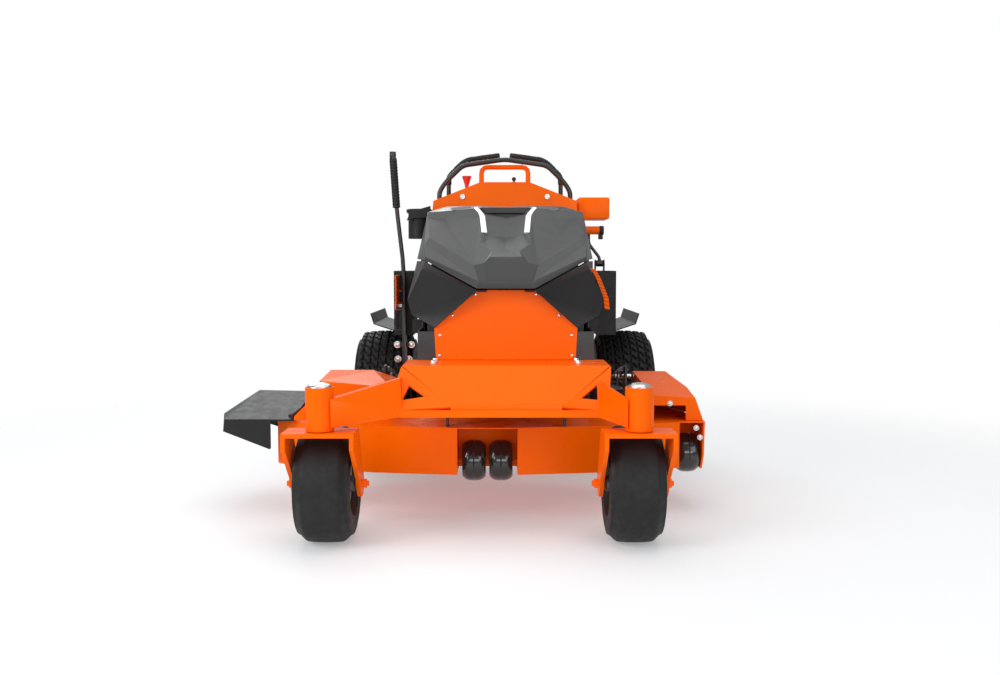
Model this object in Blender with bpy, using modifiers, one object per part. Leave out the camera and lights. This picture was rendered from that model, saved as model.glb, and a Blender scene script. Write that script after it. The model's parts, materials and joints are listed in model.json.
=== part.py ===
"""Stand-on riding mower: battery powered, three-blade deck, two front casters, two rear drive wheels.

The machine is laid out in its own frame: X to the machine's left, Y from the caster axle line to the
rear, Z up from the ground. One empty then carries everything to the part's origin, which is the
bottom centre of the whole machine's box. All lengths are metres.
"""

import math

import bmesh
import bpy
from mathutils import Matrix

# Whole machine
ORIGIN_X = 0.1335
ORIGIN_Y = -0.795
GAP = 0.0003

# Front casters
CASTER_PIVOT_Y = -0.12
CASTER_PIVOTS = {"right": -0.505, "left": 0.358}
CASTER_AXLE_Z = 0.165
CASTER_TYRE_R = 0.165
CASTER_TYRE_HALF = 0.0775
HOUSING_R = 0.038
HOUSING_BORE_R = 0.024
HOUSING_LOW = 0.336
HOUSING_HIGH = 0.454
FORK_HALF = 0.0975
FORK_PLATE = 0.012
FORK_TOP = 0.334
SPINDLE_R = 0.0125

# Drive wheels
DRIVE_AXLE_Y = 1.195
DRIVE_AXLE_Z = 0.261
DRIVE_TYRE_R = 0.261
DRIVE_TYRE_X = 0.463
DRIVE_TYRE_HALF = 0.110
RIM_R = 0.131
WHEEL_STEPS = 32

# Frame
RAIL_IN = 0.19
RAIL_OUT = 0.24
RAIL_LOW = 0.41
RAIL_HIGH = 0.4857
RAIL_FRONT = 0.17
RAIL_REAR = 1.39
FRAME_TOP = 0.492
SHEET = 0.006

# Battery bay, hood and console
BAY_HALF = 0.27
BAY_WALL = 0.004
BAY_FLOOR = 0.4862
BAY_FRONT = 0.2593
BAY_REAR = 1.2
CONSOLE_FRONT = 0.90
CONSOLE_LOW = 0.9303
HOOD_WALL = 0.003

# Cutting deck, at its raised stop
DECK_LOW = 0.1455
DECK_TOP = 0.29
DECK_WALL = 0.0045
BLADE_R = 0.205
BLADE_X = -0.055
BLADE_PITCH = 0.39
OUTER_BLADE_Y = 0.53
CENTRE_BLADE_Y = 0.70
BLADE_Z = 0.158
MOTOR_R = 0.06
ROLLER_R = 0.0635
ROLLER_BORE_R = 0.0068
ROLLER_HALF = 0.0355
CENTRE_ROLLER_Y = 0.273
SIDE_ROLLER_Y = 0.409
ROLLER_Z = 0.179
AXLE_BOLT_R = 0.006

# Deck lift
LIFT_Y = 0.80
LIFT_Z = 0.375
LIFT_SHAFT_R = 0.016
LIFT_ARM = 0.17
LIFT_ARM_RISE = 0.045
DECK_TRAVEL = 0.089
LEVER_X = -0.36

# Operator station
PLATFORM_HINGE_Y = 1.43
PLATFORM_HINGE_Z = 0.175
PLATFORM_REAR = 1.76
LEVER_PIVOT_Y = 1.08
LEVER_PIVOT_Z = 0.97
REFERENCE_BAR_Y = 1.0

for old in list(bpy.data.objects):
    bpy.data.objects.remove(old, do_unlink=True)

scene = bpy.context.scene
machine = bpy.data.collections.new("stand_on_mower")
helpers = bpy.data.collections.new("cutters")
helpers.hide_render = True
scene.collection.children.link(machine)
scene.collection.children.link(helpers)

origin = bpy.data.objects.new("machine_origin", None)
origin.location = (ORIGIN_X, ORIGIN_Y, 0)
machine.objects.link(origin)


def material(name, colour, roughness, metallic=0.0):
    made = bpy.data.materials.new(name)
    made.use_nodes = True
    shader = made.node_tree.nodes["Principled BSDF"]
    shader.inputs["Base Color"].default_value = (*colour, 1)
    shader.inputs["Roughness"].default_value = roughness
    shader.inputs["Metallic"].default_value = metallic
    made.diffuse_color = (*colour, 1)
    return made


ORANGE = material("orange_paint", (1.0, 0.12, 0.0), 0.35)
CHARCOAL = material("charcoal_plastic", (0.06, 0.06, 0.06), 0.5)
BLACK_STEEL = material("black_steel", (0.015, 0.015, 0.016), 0.4)
BLACK_PLASTIC = material("black_plastic", (0.02, 0.02, 0.02), 0.6)
TYRE = material("tyre_rubber", (0.012, 0.012, 0.012), 0.8)
ZINC = material("zinc_plate", (0.75, 0.75, 0.75), 0.3, 1.0)
GREY = material("grey_cast", (0.3, 0.3, 0.3), 0.5, 0.8)
BATTERY = material("battery_case", (0.05, 0.055, 0.06), 0.55)
CUSHION = material("pad_cover", (0.02, 0.02, 0.022), 0.7)
RED = material("red_plastic", (0.8, 0.02, 0.01), 0.4)


def place(thing, finish=None, smooth=False, collection=machine):
    """Links an object under the machine's origin and gives it its finish."""
    collection.objects.link(thing)
    thing.parent = origin
    if finish:
        thing.data.materials.append(finish)
    if smooth:
        thing.data.shade_smooth()
        thing.data.set_sharp_from_angle(angle=math.radians(35))
    if collection is helpers:
        thing.hide_render = True
        thing.display_type = "WIRE"
    return thing


def solid(name, grid, finish=None, collection=None):
    mesh = bpy.data.meshes.new(name)
    bmesh.ops.recalc_face_normals(grid, faces=grid.faces)
    grid.to_mesh(mesh)
    grid.free()
    thing = bpy.data.objects.new(name, mesh)
    return place(thing, finish, collection=collection or (machine if finish else helpers))


def box(name, x, y, z, finish=None):
    """A cuboid between the given pairs; a piece without a finish is a helper."""
    grid = bmesh.new()
    bmesh.ops.create_cube(grid, size=1)
    for vert in grid.verts:
        for axis, (low, high) in enumerate((x, y, z)):
            vert.co[axis] = high if vert.co[axis] > 0 else low
    return solid(name, grid, finish)


def hull(name, points, finish=None):
    """The convex body through a few corners: slanted plates and lofts between unlike sections."""
    grid = bmesh.new()
    for point in points:
        grid.verts.new(point)
    made = bmesh.ops.convex_hull(grid, input=grid.verts)
    loose = {item for key in ("geom_interior", "geom_unused") for item in made[key]}
    spare = [item for item in loose if isinstance(item, bmesh.types.BMVert)]
    bmesh.ops.delete(grid, geom=spare, context="VERTS")
    bmesh.ops.dissolve_limit(grid, angle_limit=0.001, verts=grid.verts, edges=grid.edges)
    return solid(name, grid, finish)


def slab(name, corners, shift, finish=None):
    """A flat plate in any plane: its corners, and the same corners moved through its thickness."""
    far = [tuple(a + b for a, b in zip(corner, shift)) for corner in corners]
    return hull(name, list(corners) + far, finish)


PLANES = {
    "XZ": Matrix(((1, 0, 0, 0), (0, 0, 1, 0), (0, 1, 0, 0), (0, 0, 0, 1))),
    "YZ": Matrix(((0, 0, 1, 0), (1, 0, 0, 0), (0, 1, 0, 0), (0, 0, 0, 1))),
    "XY": Matrix.Identity(4),
}


def plate(name, outline, plane, low, high, finish=None, holes=()):
    """An outline with holes in one plane, carried from low to high along the third axis."""
    curve = bpy.data.curves.new(name, "CURVE")
    curve.dimensions = "2D"
    curve.fill_mode = "BOTH"
    curve.extrude = (high - low) / 2
    for ring in (outline, *holes):
        spline = curve.splines.new("POLY")
        spline.points.add(len(ring) - 1)
        for point, (a, b) in zip(spline.points, ring):
            point.co = (a, b, 0, 1)
        spline.use_cyclic_u = True
    flat = bpy.data.objects.new(name + "_outline", curve)
    machine.objects.link(flat)
    mesh = bpy.data.meshes.new_from_object(flat.evaluated_get(bpy.context.evaluated_depsgraph_get()))
    bpy.data.objects.remove(flat)
    grid = bmesh.new()
    grid.from_mesh(mesh)
    bpy.data.meshes.remove(mesh)
    bmesh.ops.remove_doubles(grid, verts=grid.verts, dist=1e-5)
    bmesh.ops.translate(grid, verts=grid.verts, vec=(0, 0, (low + high) / 2))
    bmesh.ops.transform(grid, verts=grid.verts, matrix=PLANES[plane])
    return solid(name, grid, finish)


def ring(centre, radius, steps=24, start=0.0, sweep=math.tau):
    """Points on an arc or a circle, as an outline."""
    whole = abs(sweep - math.tau) < 1e-6
    count = steps if whole else steps + 1
    angles = [start + sweep * step / steps for step in range(count)]
    return [(centre[0] + radius * math.cos(a), centre[1] + radius * math.sin(a)) for a in angles]


def slot(centre, half_a, half_b, steps=6):
    """A round-ended slot: half_a and half_b are its half lengths along the outline's two axes."""
    radius = min(half_a, half_b)
    along = (half_a - radius, 0) if half_a > half_b else (0, half_b - radius)
    turn = 0 if half_a > half_b else math.pi / 2
    first = (centre[0] + along[0], centre[1] + along[1])
    second = (centre[0] - along[0], centre[1] - along[1])
    end_a = ring(first, radius, steps, turn - math.pi / 2, math.pi)
    end_b = ring(second, radius, steps, turn + math.pi / 2, math.pi)
    return end_a + end_b


TURNS = {"X": (0, math.pi / 2, 0), "Y": (-math.pi / 2, 0, 0), "Z": (0, 0, 0)}


def turned(name, profile, centre, axis, finish=None, steps=24, closed=False, phase=0.0):
    """A profile of (radius, height) points turned about an axis; heights run down the outer side."""
    grid = bmesh.new()
    verts = [grid.verts.new((r * math.cos(phase), r * math.sin(phase), h)) for r, h in profile]
    for first, second in zip(verts, verts[1:]):
        grid.edges.new((first, second))
    if closed:
        grid.edges.new((verts[-1], verts[0]))
    mesh = bpy.data.meshes.new(name)
    grid.to_mesh(mesh)
    grid.free()
    thing = bpy.data.objects.new(name, mesh)
    screw = thing.modifiers.new("turn", "SCREW")
    screw.axis = "Z"
    screw.steps = steps
    screw.render_steps = steps
    screw.use_merge_vertices = True
    screw.merge_threshold = 0.00001
    thing.location = centre
    thing.rotation_euler = TURNS[axis]
    return place(thing, finish, True, machine if finish else helpers)


def rod(name, centre, axis, radius, low, high, finish=None, steps=16):
    """A plain round bar between two heights along its axis, measured from its centre point."""
    return turned(name, [(0, high), (radius, high), (radius, low), (0, low)], centre, axis, finish, steps)


def tube(name, points, radius, finish=None, sides=1):
    """A round bar bent through its points, as a mesh so that it can be joined."""
    curve = bpy.data.curves.new(name, "CURVE")
    curve.dimensions = "3D"
    curve.bevel_depth = radius
    curve.bevel_resolution = sides
    curve.use_fill_caps = True
    spline = curve.splines.new("POLY")
    spline.points.add(len(points) - 1)
    for point, place_at in zip(spline.points, points):
        point.co = (*place_at, 1)
    bent = bpy.data.objects.new(name + "_path", curve)
    machine.objects.link(bent)
    mesh = bpy.data.meshes.new_from_object(bent.evaluated_get(bpy.context.evaluated_depsgraph_get()))
    bpy.data.objects.remove(bent)
    grid = bmesh.new()
    grid.from_mesh(mesh)
    bpy.data.meshes.remove(mesh)
    bmesh.ops.remove_doubles(grid, verts=grid.verts, dist=1e-5)
    return solid(name, grid, finish)


def rounded(points, radius, steps=3):
    """The same path with an arc-like corner of straight steps at each inner point."""
    path = [points[0]]
    for before, here, after in zip(points, points[1:], points[2:]):
        def toward(other):
            length = math.dist(here, other)
            part = min(radius, length * 0.45) / length
            return [h + (o - h) * part for h, o in zip(here, other)]
        start, end = toward(before), toward(after)
        for step in range(steps + 1):
            t = step / steps
            weights = ((1 - t) ** 2, 2 * t * (1 - t), t * t)
            path.append(tuple(sum(w * p for w, p in zip(weights, pts)) for pts in zip(start, here, end)))
    path.append(points[-1])
    return path


def combine(target, others, operation):
    for other in others:
        modifier = target.modifiers.new(operation.lower() + "_" + other.name, "BOOLEAN")
        modifier.operation = operation
        modifier.object = other
    return target


def join(target, *others):
    return combine(target, others, "UNION")


def cut(target, *others):
    return combine(target, others, "DIFFERENCE")


def soften(target, width, segments=1):
    bevel = target.modifiers.new("soften", "BEVEL")
    bevel.width = width
    bevel.segments = segments
    bevel.limit_method = "ANGLE"
    return target


# Front frame: crossmember, its gussets, the two caster arms and their pivot housings, one weldment


def front_frame():
    slope = (0, 0.0044, -0.0041)
    frame = slab(
        "front_frame",
        [(-0.30, 0.08, FRAME_TOP), (0.30, 0.08, FRAME_TOP), (0.157, -0.02, 0.386), (-0.157, -0.02, 0.386)],
        slope,
        ORANGE,
    )
    parts = [
        box("frame_deck_plate", (-0.30, 0.30), (0.0795, 0.262), (FRAME_TOP - SHEET, FRAME_TOP)),
        box("frame_low_beam", (-0.335, 0.285), (-0.03, 0.03), (0.357, 0.377)),
        box("frame_chin", (-0.156, 0.156), (-0.024, -0.013), (0.37, 0.392)),
    ]
    web = [(0.083, 0.489), (-0.014, 0.386), (-0.017, 0.37), (0.04, 0.362), (0.262, 0.362), (0.262, 0.489)]
    for side, sign in (("right", -1), ("left", 1)):
        inner, outer = sorted((sign * 0.147, sign * 0.153))
        parts.append(plate("frame_web_" + side, web, "YZ", inner, outer))
        low, high = sorted((sign * 0.149, sign * 0.189))
        parts.append(rod("hanger_pin_" + side, (0, 0.245, 0.372), "X", 0.005, low, high, steps=10))
    gussets = {
        "right": [(-0.155, -0.022, 0.386), (-0.303, 0.078, 0.490), (-0.335, -0.02, 0.374)],
        "left": [(0.155, -0.022, 0.386), (0.303, 0.078, 0.490), (0.287, -0.02, 0.374)],
    }
    windows = {
        "right": [(-0.2293, 0.005, 0.412), (-0.2766, 0.033, 0.441), (-0.2953, 0.002, 0.401)],
        "left": [(0.2093, 0.003, 0.405), (0.2586, 0.036, 0.441), (0.2575, 0.003, 0.401)],
    }
    pierced = []
    for side, corners in gussets.items():
        parts.append(slab("gusset_" + side, corners, (0, 0.005, -0.005)))
        window = [(x, y - 0.02, z + 0.02) for x, y, z in windows[side]]
        pierced.append(slab("gusset_window_" + side, window, (0, 0.05, -0.05)))
    arms = {
        "right": [
            (-0.290, -0.025, 0.358), (-0.290, 0.050, 0.358), (-0.300, 0.050, 0.463), (-0.300, 0.005, 0.463),
            (-0.471, -0.150, 0.347), (-0.471, -0.090, 0.347),
            (-0.471, -0.090, 0.424), (-0.471, -0.150, 0.424),
        ],
        "left": [
            (0.255, -0.025, 0.358), (0.255, 0.050, 0.358), (0.270, 0.050, 0.452), (0.270, 0.005, 0.452),
            (0.324, -0.150, 0.347), (0.324, -0.090, 0.347), (0.324, -0.090, 0.424), (0.324, -0.150, 0.424),
        ],
    }
    for side, corners in arms.items():
        parts.append(hull("caster_arm_" + side, corners))
    fin = [(-0.534, 0.362), (-0.575, 0.364), (-0.575, 0.373), (-0.545, 0.403), (-0.534, 0.403)]
    parts.append(plate("housing_fin", fin, "XZ", -0.118, -0.112))
    middle = (HOUSING_LOW + HOUSING_HIGH) / 2
    half = (HOUSING_HIGH - HOUSING_LOW) / 2
    for side, x in CASTER_PIVOTS.items():
        wall = [(HOUSING_R, half), (HOUSING_R, -half), (0, -half)]
        parts.append(turned("housing_" + side, [(0, half), *wall], (x, CASTER_PIVOT_Y, middle), "Z", steps=20))
        pierced.append(rod("housing_bore_" + side, (x, CASTER_PIVOT_Y, middle), "Z", HOUSING_BORE_R, -0.1, 0.1))
    cut(join(frame, *parts), *pierced)


# Main frame: two rails, their crossmembers, motor plates, lift bearings and platform hinge plates


def main_frame():
    frame = box("main_frame", (-RAIL_OUT, -RAIL_IN), (RAIL_FRONT, RAIL_REAR), (RAIL_LOW, RAIL_HIGH), ORANGE)
    parts = [box("rail_left", (RAIL_IN, RAIL_OUT), (RAIL_FRONT, RAIL_REAR), (RAIL_LOW, RAIL_HIGH))]
    parts.append(box("middle_crossmember", (-0.2, 0.2), (0.90, 0.94), (0.42, 0.475)))
    parts.append(box("rear_crossmember", (-0.2, 0.2), (1.335, 1.385), (0.415, 0.48)))
    hollows = []
    for side, sign in (("right", -1), ("left", 1)):
        low, high = sorted((sign * (RAIL_IN + 0.005), sign * (RAIL_OUT - 0.005)))
        hollows.append(box("rail_hollow_" + side, (low, high), (RAIL_FRONT - 0.01, 0.88), (0.415, 0.4807)))
        low, high = sorted((sign * 0.236, sign * 0.246))
        motor_plate = [(1.09, 0.175), (1.30, 0.175), (1.33, 0.47), (1.06, 0.47)]
        mouth = ring((DRIVE_AXLE_Y, DRIVE_AXLE_Z), 0.05, 16)
        parts.append(plate("motor_plate_" + side, motor_plate, "YZ", low, high, holes=(mouth,)))
        low, high = sorted((sign * 0.206, sign * 0.214))
        ear = [(0.755, 0.45), (0.775, 0.352), (0.825, 0.352), (0.845, 0.45)]
        seat = ring((LIFT_Y, LIFT_Z), LIFT_SHAFT_R + 0.0012, 16)
        parts.append(plate("lift_ear_" + side, ear, "YZ", low, high, holes=(seat,)))
        low, high = sorted((sign * 0.225, sign * 0.233))
        ear = [(1.335, 0.45), (1.398, 0.155), (1.45, 0.155), (1.45, 0.19), (1.436, 0.203), (1.412, 0.208)]
        ear.append((1.385, 0.45))
        eye = ring((PLATFORM_HINGE_Y, PLATFORM_HINGE_Z), 0.009, 16)
        parts.append(plate("platform_ear_" + side, ear, "YZ", low, high, holes=(eye,)))
    cut(join(frame, *parts), *hollows)


# Casters


def caster(side):
    x = CASTER_PIVOTS[side]
    plate_low = FORK_TOP - FORK_PLATE
    span = (x - FORK_HALF, x + FORK_HALF)
    fork = box("caster_fork_" + side, span, (-0.17, -0.065), (plate_low, FORK_TOP), ORANGE)
    leg = [(-0.17, 0.333), (-0.17, 0.29), (-0.06, 0.19), (-0.036, 0.150), (-0.018, 0.131), (0.014, 0.129)]
    leg += [(0.034, 0.148), (0.036, 0.178), (0.01, 0.215), (-0.065, 0.333)]
    parts = []
    for sign in (-1, 1):
        low, high = sorted((x + sign * (FORK_HALF - FORK_PLATE), x + sign * FORK_HALF))
        parts.append(plate(f"fork_leg_{side}_{sign + 1}", leg, "YZ", low, high))
        low, high = sorted((sign * (CASTER_TYRE_HALF + 0.001), sign * (FORK_HALF - FORK_PLATE + 0.002)))
        parts.append(rod(f"fork_spacer_{side}_{sign + 1}", (x, 0, CASTER_AXLE_Z), "X", 0.016, low, high))
        low, high = sorted((sign * (FORK_HALF - 0.002), sign * 0.110))
        parts.append(rod(f"fork_nut_{side}_{sign + 1}", (x, 0, CASTER_AXLE_Z), "X", 0.0135, low, high, steps=6))
    parts.append(rod("fork_axle_" + side, (x, 0, CASTER_AXLE_Z), "X", 0.008, -0.116, 0.116, steps=12))
    spindle_top = HOUSING_HIGH - 0.004
    parts.append(
        turned(
            "fork_spindle_" + side,
            [
                (0, spindle_top), (SPINDLE_R, spindle_top), (SPINDLE_R, 0.3353), (0.02, 0.3353), (0.02, 0.33),
                (0, 0.33),
            ],
            (x, CASTER_PIVOT_Y, 0),
            "Z",
            steps=12,
        )
    )
    join(fork, *parts)
    low, high = HOUSING_LOW + 0.002, HOUSING_HIGH - 0.003
    sleeve = [(SPINDLE_R + 0.0006, high), (HOUSING_BORE_R - 0.001, high)]
    sleeve += [(HOUSING_BORE_R - 0.001, low), (SPINDLE_R + 0.0006, low)]
    turned("caster_bearing_" + side, sleeve, (x, CASTER_PIVOT_Y, 0), "Z", GREY, 16, closed=True)
    cap = [(0, 0.0125), (0.018, 0.0105), (0.0335, 0.0), (0, 0.0)]
    turned("caster_cap_" + side, cap, (x, CASTER_PIVOT_Y, HOUSING_HIGH + GAP), "Z", ZINC, 20)
    flat = 1 / math.cos(math.pi / WHEEL_STEPS)
    phase = math.pi / WHEEL_STEPS
    outer = CASTER_TYRE_R * flat
    half = CASTER_TYRE_HALF
    tread = [(0.0765, 0.058), (0.120, half), (outer - 0.014, half - 0.008), (outer, half - 0.030)]
    profile = tread + [(r, -h) for r, h in reversed(tread)]
    centre = (x, 0, CASTER_AXLE_Z)
    turned("caster_tyre_" + side, profile, centre, "X", TYRE, WHEEL_STEPS, closed=True, phase=phase)
    hub = [(0.0092, half), (0.022, half), (0.024, 0.02), (0.069, 0.02), (0.0755, 0.056)]
    profile = hub + [(r, -h) for r, h in reversed(hub)]
    turned("caster_hub_" + side, profile, centre, "X", GREY, 18, closed=True)


# Drive wheels and their gear motors


def drive_wheel(side, sign):
    flat = 1 / math.cos(math.pi / WHEEL_STEPS)
    phase = math.pi / WHEEL_STEPS
    outer = DRIVE_TYRE_R * flat
    half = DRIVE_TYRE_HALF
    tread = [(RIM_R + 0.001, 0.098), (0.195, half), (outer - 0.012, half - 0.008), (outer, half - 0.026)]
    profile = tread + [(r, -h) for r, h in reversed(tread)]
    centre = (sign * DRIVE_TYRE_X, DRIVE_AXLE_Y, DRIVE_AXLE_Z)
    turned("drive_tyre_" + side, profile, centre, "X", TYRE, WHEEL_STEPS, closed=True, phase=phase)
    web = -0.042
    flange_in = -0.062
    barrel = [(0, flange_in), (0.055, flange_in), (0.055, web), (0.118, web), (0.118, -0.100)]
    barrel += [(RIM_R, -0.100), (RIM_R, 0.100), (0.118, 0.100), (0.112, web + 0.007), (0.034, web + 0.007)]
    barrel.append((0.032, web + 0.02))
    barrel += [(0, web + 0.02)]
    profile = [(r, sign * h) for r, h in (barrel if sign < 0 else barrel[::-1])]
    rim = turned("drive_rim_" + side, profile[::-1] if sign < 0 else profile, centre, "X", CHARCOAL, 20)
    nuts = []
    for step in range(4):
        angle = math.pi / 4 + step * math.pi / 2
        y = DRIVE_AXLE_Y + 0.05 * math.cos(angle)
        z = DRIVE_AXLE_Z + 0.05 * math.sin(angle)
        low, high = sorted((sign * (web + 0.004), sign * (web + 0.022)))
        nuts.append(rod(f"lug_{side}_{step}", (centre[0], y, z), "X", 0.011, low, high, steps=6))
    join(rim, *nuts)
    face = DRIVE_TYRE_X + flange_in
    profile = [(0, face - 0.002), (0.045, face - 0.002), (0.05, 0.352), (0.075, 0.350), (0.075, 0.2463)]
    profile += [(0.045, 0.2463), (0.045, 0.2357), (0.062, 0.2357), (0.062, 0.105), (0, 0.105)]
    if sign < 0:
        profile = [(r, -h) for r, h in profile][::-1]
    axle = (0, DRIVE_AXLE_Y, DRIVE_AXLE_Z)
    turned("wheel_motor_" + side, profile, axle, "X", BLACK_STEEL, 16)


# Battery bay and what it holds


def battery_bay():
    floor_high = BAY_FLOOR + BAY_WALL
    front_low = FRAME_TOP + 0.0005
    bay = box("battery_bay", (-BAY_HALF, BAY_HALF), (0.2626, BAY_REAR), (BAY_FLOOR, floor_high), BLACK_STEEL)
    wall = [(0.2626, BAY_FLOOR + 0.001), (BAY_REAR, BAY_FLOOR + 0.001), (BAY_REAR, 0.93), (0.905, 0.93)]
    wall += [(0.905, 0.74), (0.44, 0.74), (0.44, 0.58), (BAY_FRONT, 0.58), (BAY_FRONT, front_low)]
    wall.append((0.2626, front_low))
    parts = [box("bay_rear", (-0.269, 0.269), (BAY_REAR - BAY_WALL, BAY_REAR), (BAY_FLOOR + 0.001, 0.93))]
    for side, sign in (("right", -1), ("left", 1)):
        low, high = sorted((sign * (BAY_HALF - BAY_WALL), sign * BAY_HALF))
        parts.append(plate("bay_wall_" + side, wall, "YZ", low, high))
        low, high = sorted((sign * 0.195, sign * (BAY_HALF - 0.001)))
        parts.append(box("bay_return_" + side, (low, high), (BAY_FRONT, BAY_FRONT + BAY_WALL), (front_low, 0.579)))
    join(bay, *parts)
    for side, sign in (("right", -1), ("left", 1)):
        low, high = sorted((sign * 0.008, sign * 0.25))
        pack = box("battery_pack_" + side, (low, high), (0.40, 0.745), (floor_high + GAP, 0.70), BATTERY)
        low, high = sorted((sign * 0.07, sign * 0.19))
        cut(pack, box("pack_grip_" + side, (low, high), (0.55, 0.60), (0.68, 0.71)))
    lid = box("controller_box", (-0.15, 0.15), (0.76, 0.98), (floor_high + GAP, 0.56), GREY)
    fin_starts = [-0.132 + 0.04 * n for n in range(7)]
    fins = []
    for n, x in enumerate(fin_starts):
        fins.append(box(f"controller_fin_{n}", (x, x + 0.01), (0.77, 0.97), (0.555, 0.59)))
    join(lid, *fins)


def front_panel():
    half = [(0.214, 0.4925), (0.219, 0.59), (0.093, 0.706)]
    outline = half + [(-x, z) for x, z in reversed(half)]
    plate("front_panel", outline, "XZ", 0.256, 0.259, ORANGE)


# Hood: a fixed lower shell and a lid that tilts forward


def folded_shell(name, points, faces, finish):
    """Flat facets between named corners of the left half, mirrored and given a wall inwards."""
    names = list(points)
    grid = bmesh.new()
    verts = {key: grid.verts.new(points[key]) for key in names}
    for face in faces:
        grid.faces.new([verts[key] for key in face])
    mesh = bpy.data.meshes.new(name)
    grid.to_mesh(mesh)
    grid.free()
    shell = bpy.data.objects.new(name, mesh)
    mirror = shell.modifiers.new("mirror", "MIRROR")
    mirror.merge_threshold = 0.00001
    wall = shell.modifiers.new("wall", "SOLIDIFY")
    wall.thickness = HOOD_WALL
    wall.offset = -1
    return place(shell, finish)


def hood():
    lid = {
        "chin": (0, 0.20, 0.712), "chin_end": (0.088, 0.20, 0.712), "corner": (0.252, 0.32, 0.797),
        "plate_low": (0.066, 0.213, 0.735), "plate_low_mid": (0, 0.213, 0.735),
        "plate_top": (0.068, 0.262, 0.80), "plate_top_mid": (0, 0.262, 0.80),
        "strip_top": (0.073, 0.50, 0.955), "strip_top_mid": (0, 0.50, 0.955),
        "brow": (0.10, 0.60, 0.975), "brow_mid": (0, 0.60, 0.975),
        "cheek": (0.259, 0.42, 0.862), "temple": (0.262, 0.60, 0.957),
        "rear": (0.10, 0.895, 0.985), "rear_mid": (0, 0.895, 0.985),
        "rear_side": (0.262, 0.895, 0.962), "skirt": (0.322, 0.895, 0.803),
    }
    faces = [
        ("chin", "chin_end", "plate_low", "plate_low_mid"),
        ("plate_low_mid", "plate_low", "plate_top", "plate_top_mid"),
        ("plate_top_mid", "plate_top", "strip_top", "strip_top_mid"),
        ("strip_top_mid", "strip_top", "brow", "brow_mid"),
        ("brow_mid", "brow", "rear", "rear_mid"),
        ("chin_end", "corner", "cheek"), ("chin_end", "cheek", "plate_low"),
        ("plate_low", "cheek", "plate_top"), ("plate_top", "cheek", "strip_top"),
        ("strip_top", "cheek", "temple"), ("strip_top", "temple", "brow"),
        ("brow", "temple", "rear_side", "rear"),
        ("corner", "skirt", "cheek"), ("cheek", "skirt", "temple"), ("temple", "skirt", "rear_side"),
    ]
    folded_shell("hood_lid", lid, faces, CHARCOAL)
    cheeks = {
        "nose": (0.0876, 0.207, 0.706), "brow": (0.252, 0.327, 0.791), "eye": (0.266, 0.385, 0.768),
        "jaw": (0.318, 0.45, 0.668), "jaw_low": (0.302, 0.43, 0.621), "lip": (0.219, 0.247, 0.592),
        "rear_top": (0.322, 0.895, 0.796), "rear_mid": (0.325, 0.895, 0.668), "rear_low": (0.305, 0.895, 0.61),
    }
    faces = [
        ("nose", "lip", "jaw_low"), ("nose", "jaw_low", "jaw"), ("nose", "jaw", "eye"), ("nose", "eye", "brow"),
        ("brow", "eye", "rear_top"), ("eye", "jaw", "rear_mid", "rear_top"),
        ("jaw", "jaw_low", "rear_low", "rear_mid"),
    ]
    for side, sign in (("left", 1), ("right", -1)):
        grid = bmesh.new()
        verts = {key: grid.verts.new((sign * x, y, z)) for key, (x, y, z) in cheeks.items()}
        for face in faces:
            keys = face if sign > 0 else face[::-1]
            grid.faces.new([verts[key] for key in keys])
        mesh = bpy.data.meshes.new("hood_cheek_" + side)
        grid.to_mesh(mesh)
        grid.free()
        cheek = bpy.data.objects.new("hood_cheek_" + side, mesh)
        wall = cheek.modifiers.new("wall", "SOLIDIFY")
        wall.thickness = HOOD_WALL
        wall.offset = -1
        place(cheek, CHARCOAL)


# Console, its welded hand bar, and what stands on it


def console():
    half = [(0.27, CONSOLE_LOW), (0.262, 1.015), (0.09, 1.083)]
    outline = half + [(-x, z) for x, z in reversed(half)]
    half = [(0.267, 0.92), (0.259, 1.013), (0.0893, 1.080)]
    inner = half + [(-x, z) for x, z in reversed(half)]
    body = plate("control_console", outline, "XZ", CONSOLE_FRONT, BAY_REAR, ORANGE)
    hollow = plate("console_hollow", inner, "XZ", CONSOLE_FRONT + 0.003, BAY_REAR - 0.003)
    slots = []
    for side, sign in (("right", -1), ("left", 1)):
        low, high = sorted((sign * 0.195, sign * 0.233))
        slots.append(box("lever_slot_" + side, (low, high), (1.03, 1.13), (1.0, 1.07)))
    bar = [(-0.088, 1.045, 1.0815), (-0.088, 1.045, 1.15), (0.088, 1.045, 1.15), (0.088, 1.045, 1.0815)]
    cut(body, hollow, *slots)
    join(body, tube("hand_bar", rounded(bar, 0.024), 0.0095, sides=1))
    knob = [(0, 0.040), (0.0165, 0.040), (0.0175, 0.036), (0.009, 0.012), (0.006, -0.006), (0, -0.006)]
    knob_x = -0.142
    surface = 1.015 + (0.262 - abs(knob_x)) / 0.172 * 0.068
    turned("pto_knob", knob, (knob_x, 0.985, surface + 0.0095), "Z", RED, 16)
    key = rod("key_switch", (0.034, 0.99, 1.083), "Z", 0.011, GAP, 0.008, BLACK_PLASTIC, 16)
    join(key, box("key_bow", (0.026, 0.042), (0.9885, 0.9915), (1.087, 1.109)))


def reference_bar():
    surface = 1.0262
    half = [(-0.245, surface), (-0.245, 1.055), (-0.222, 1.090), (-0.158, 1.152), (0, 1.178)]
    points = half + [(-x, z) for x, z in reversed(half[:-1])]
    path = [(x, REFERENCE_BAR_Y, z) for x, z in points]
    tube("reference_bar", rounded(path, 0.02, 1), 0.009, BLACK_STEEL, sides=1)


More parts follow.
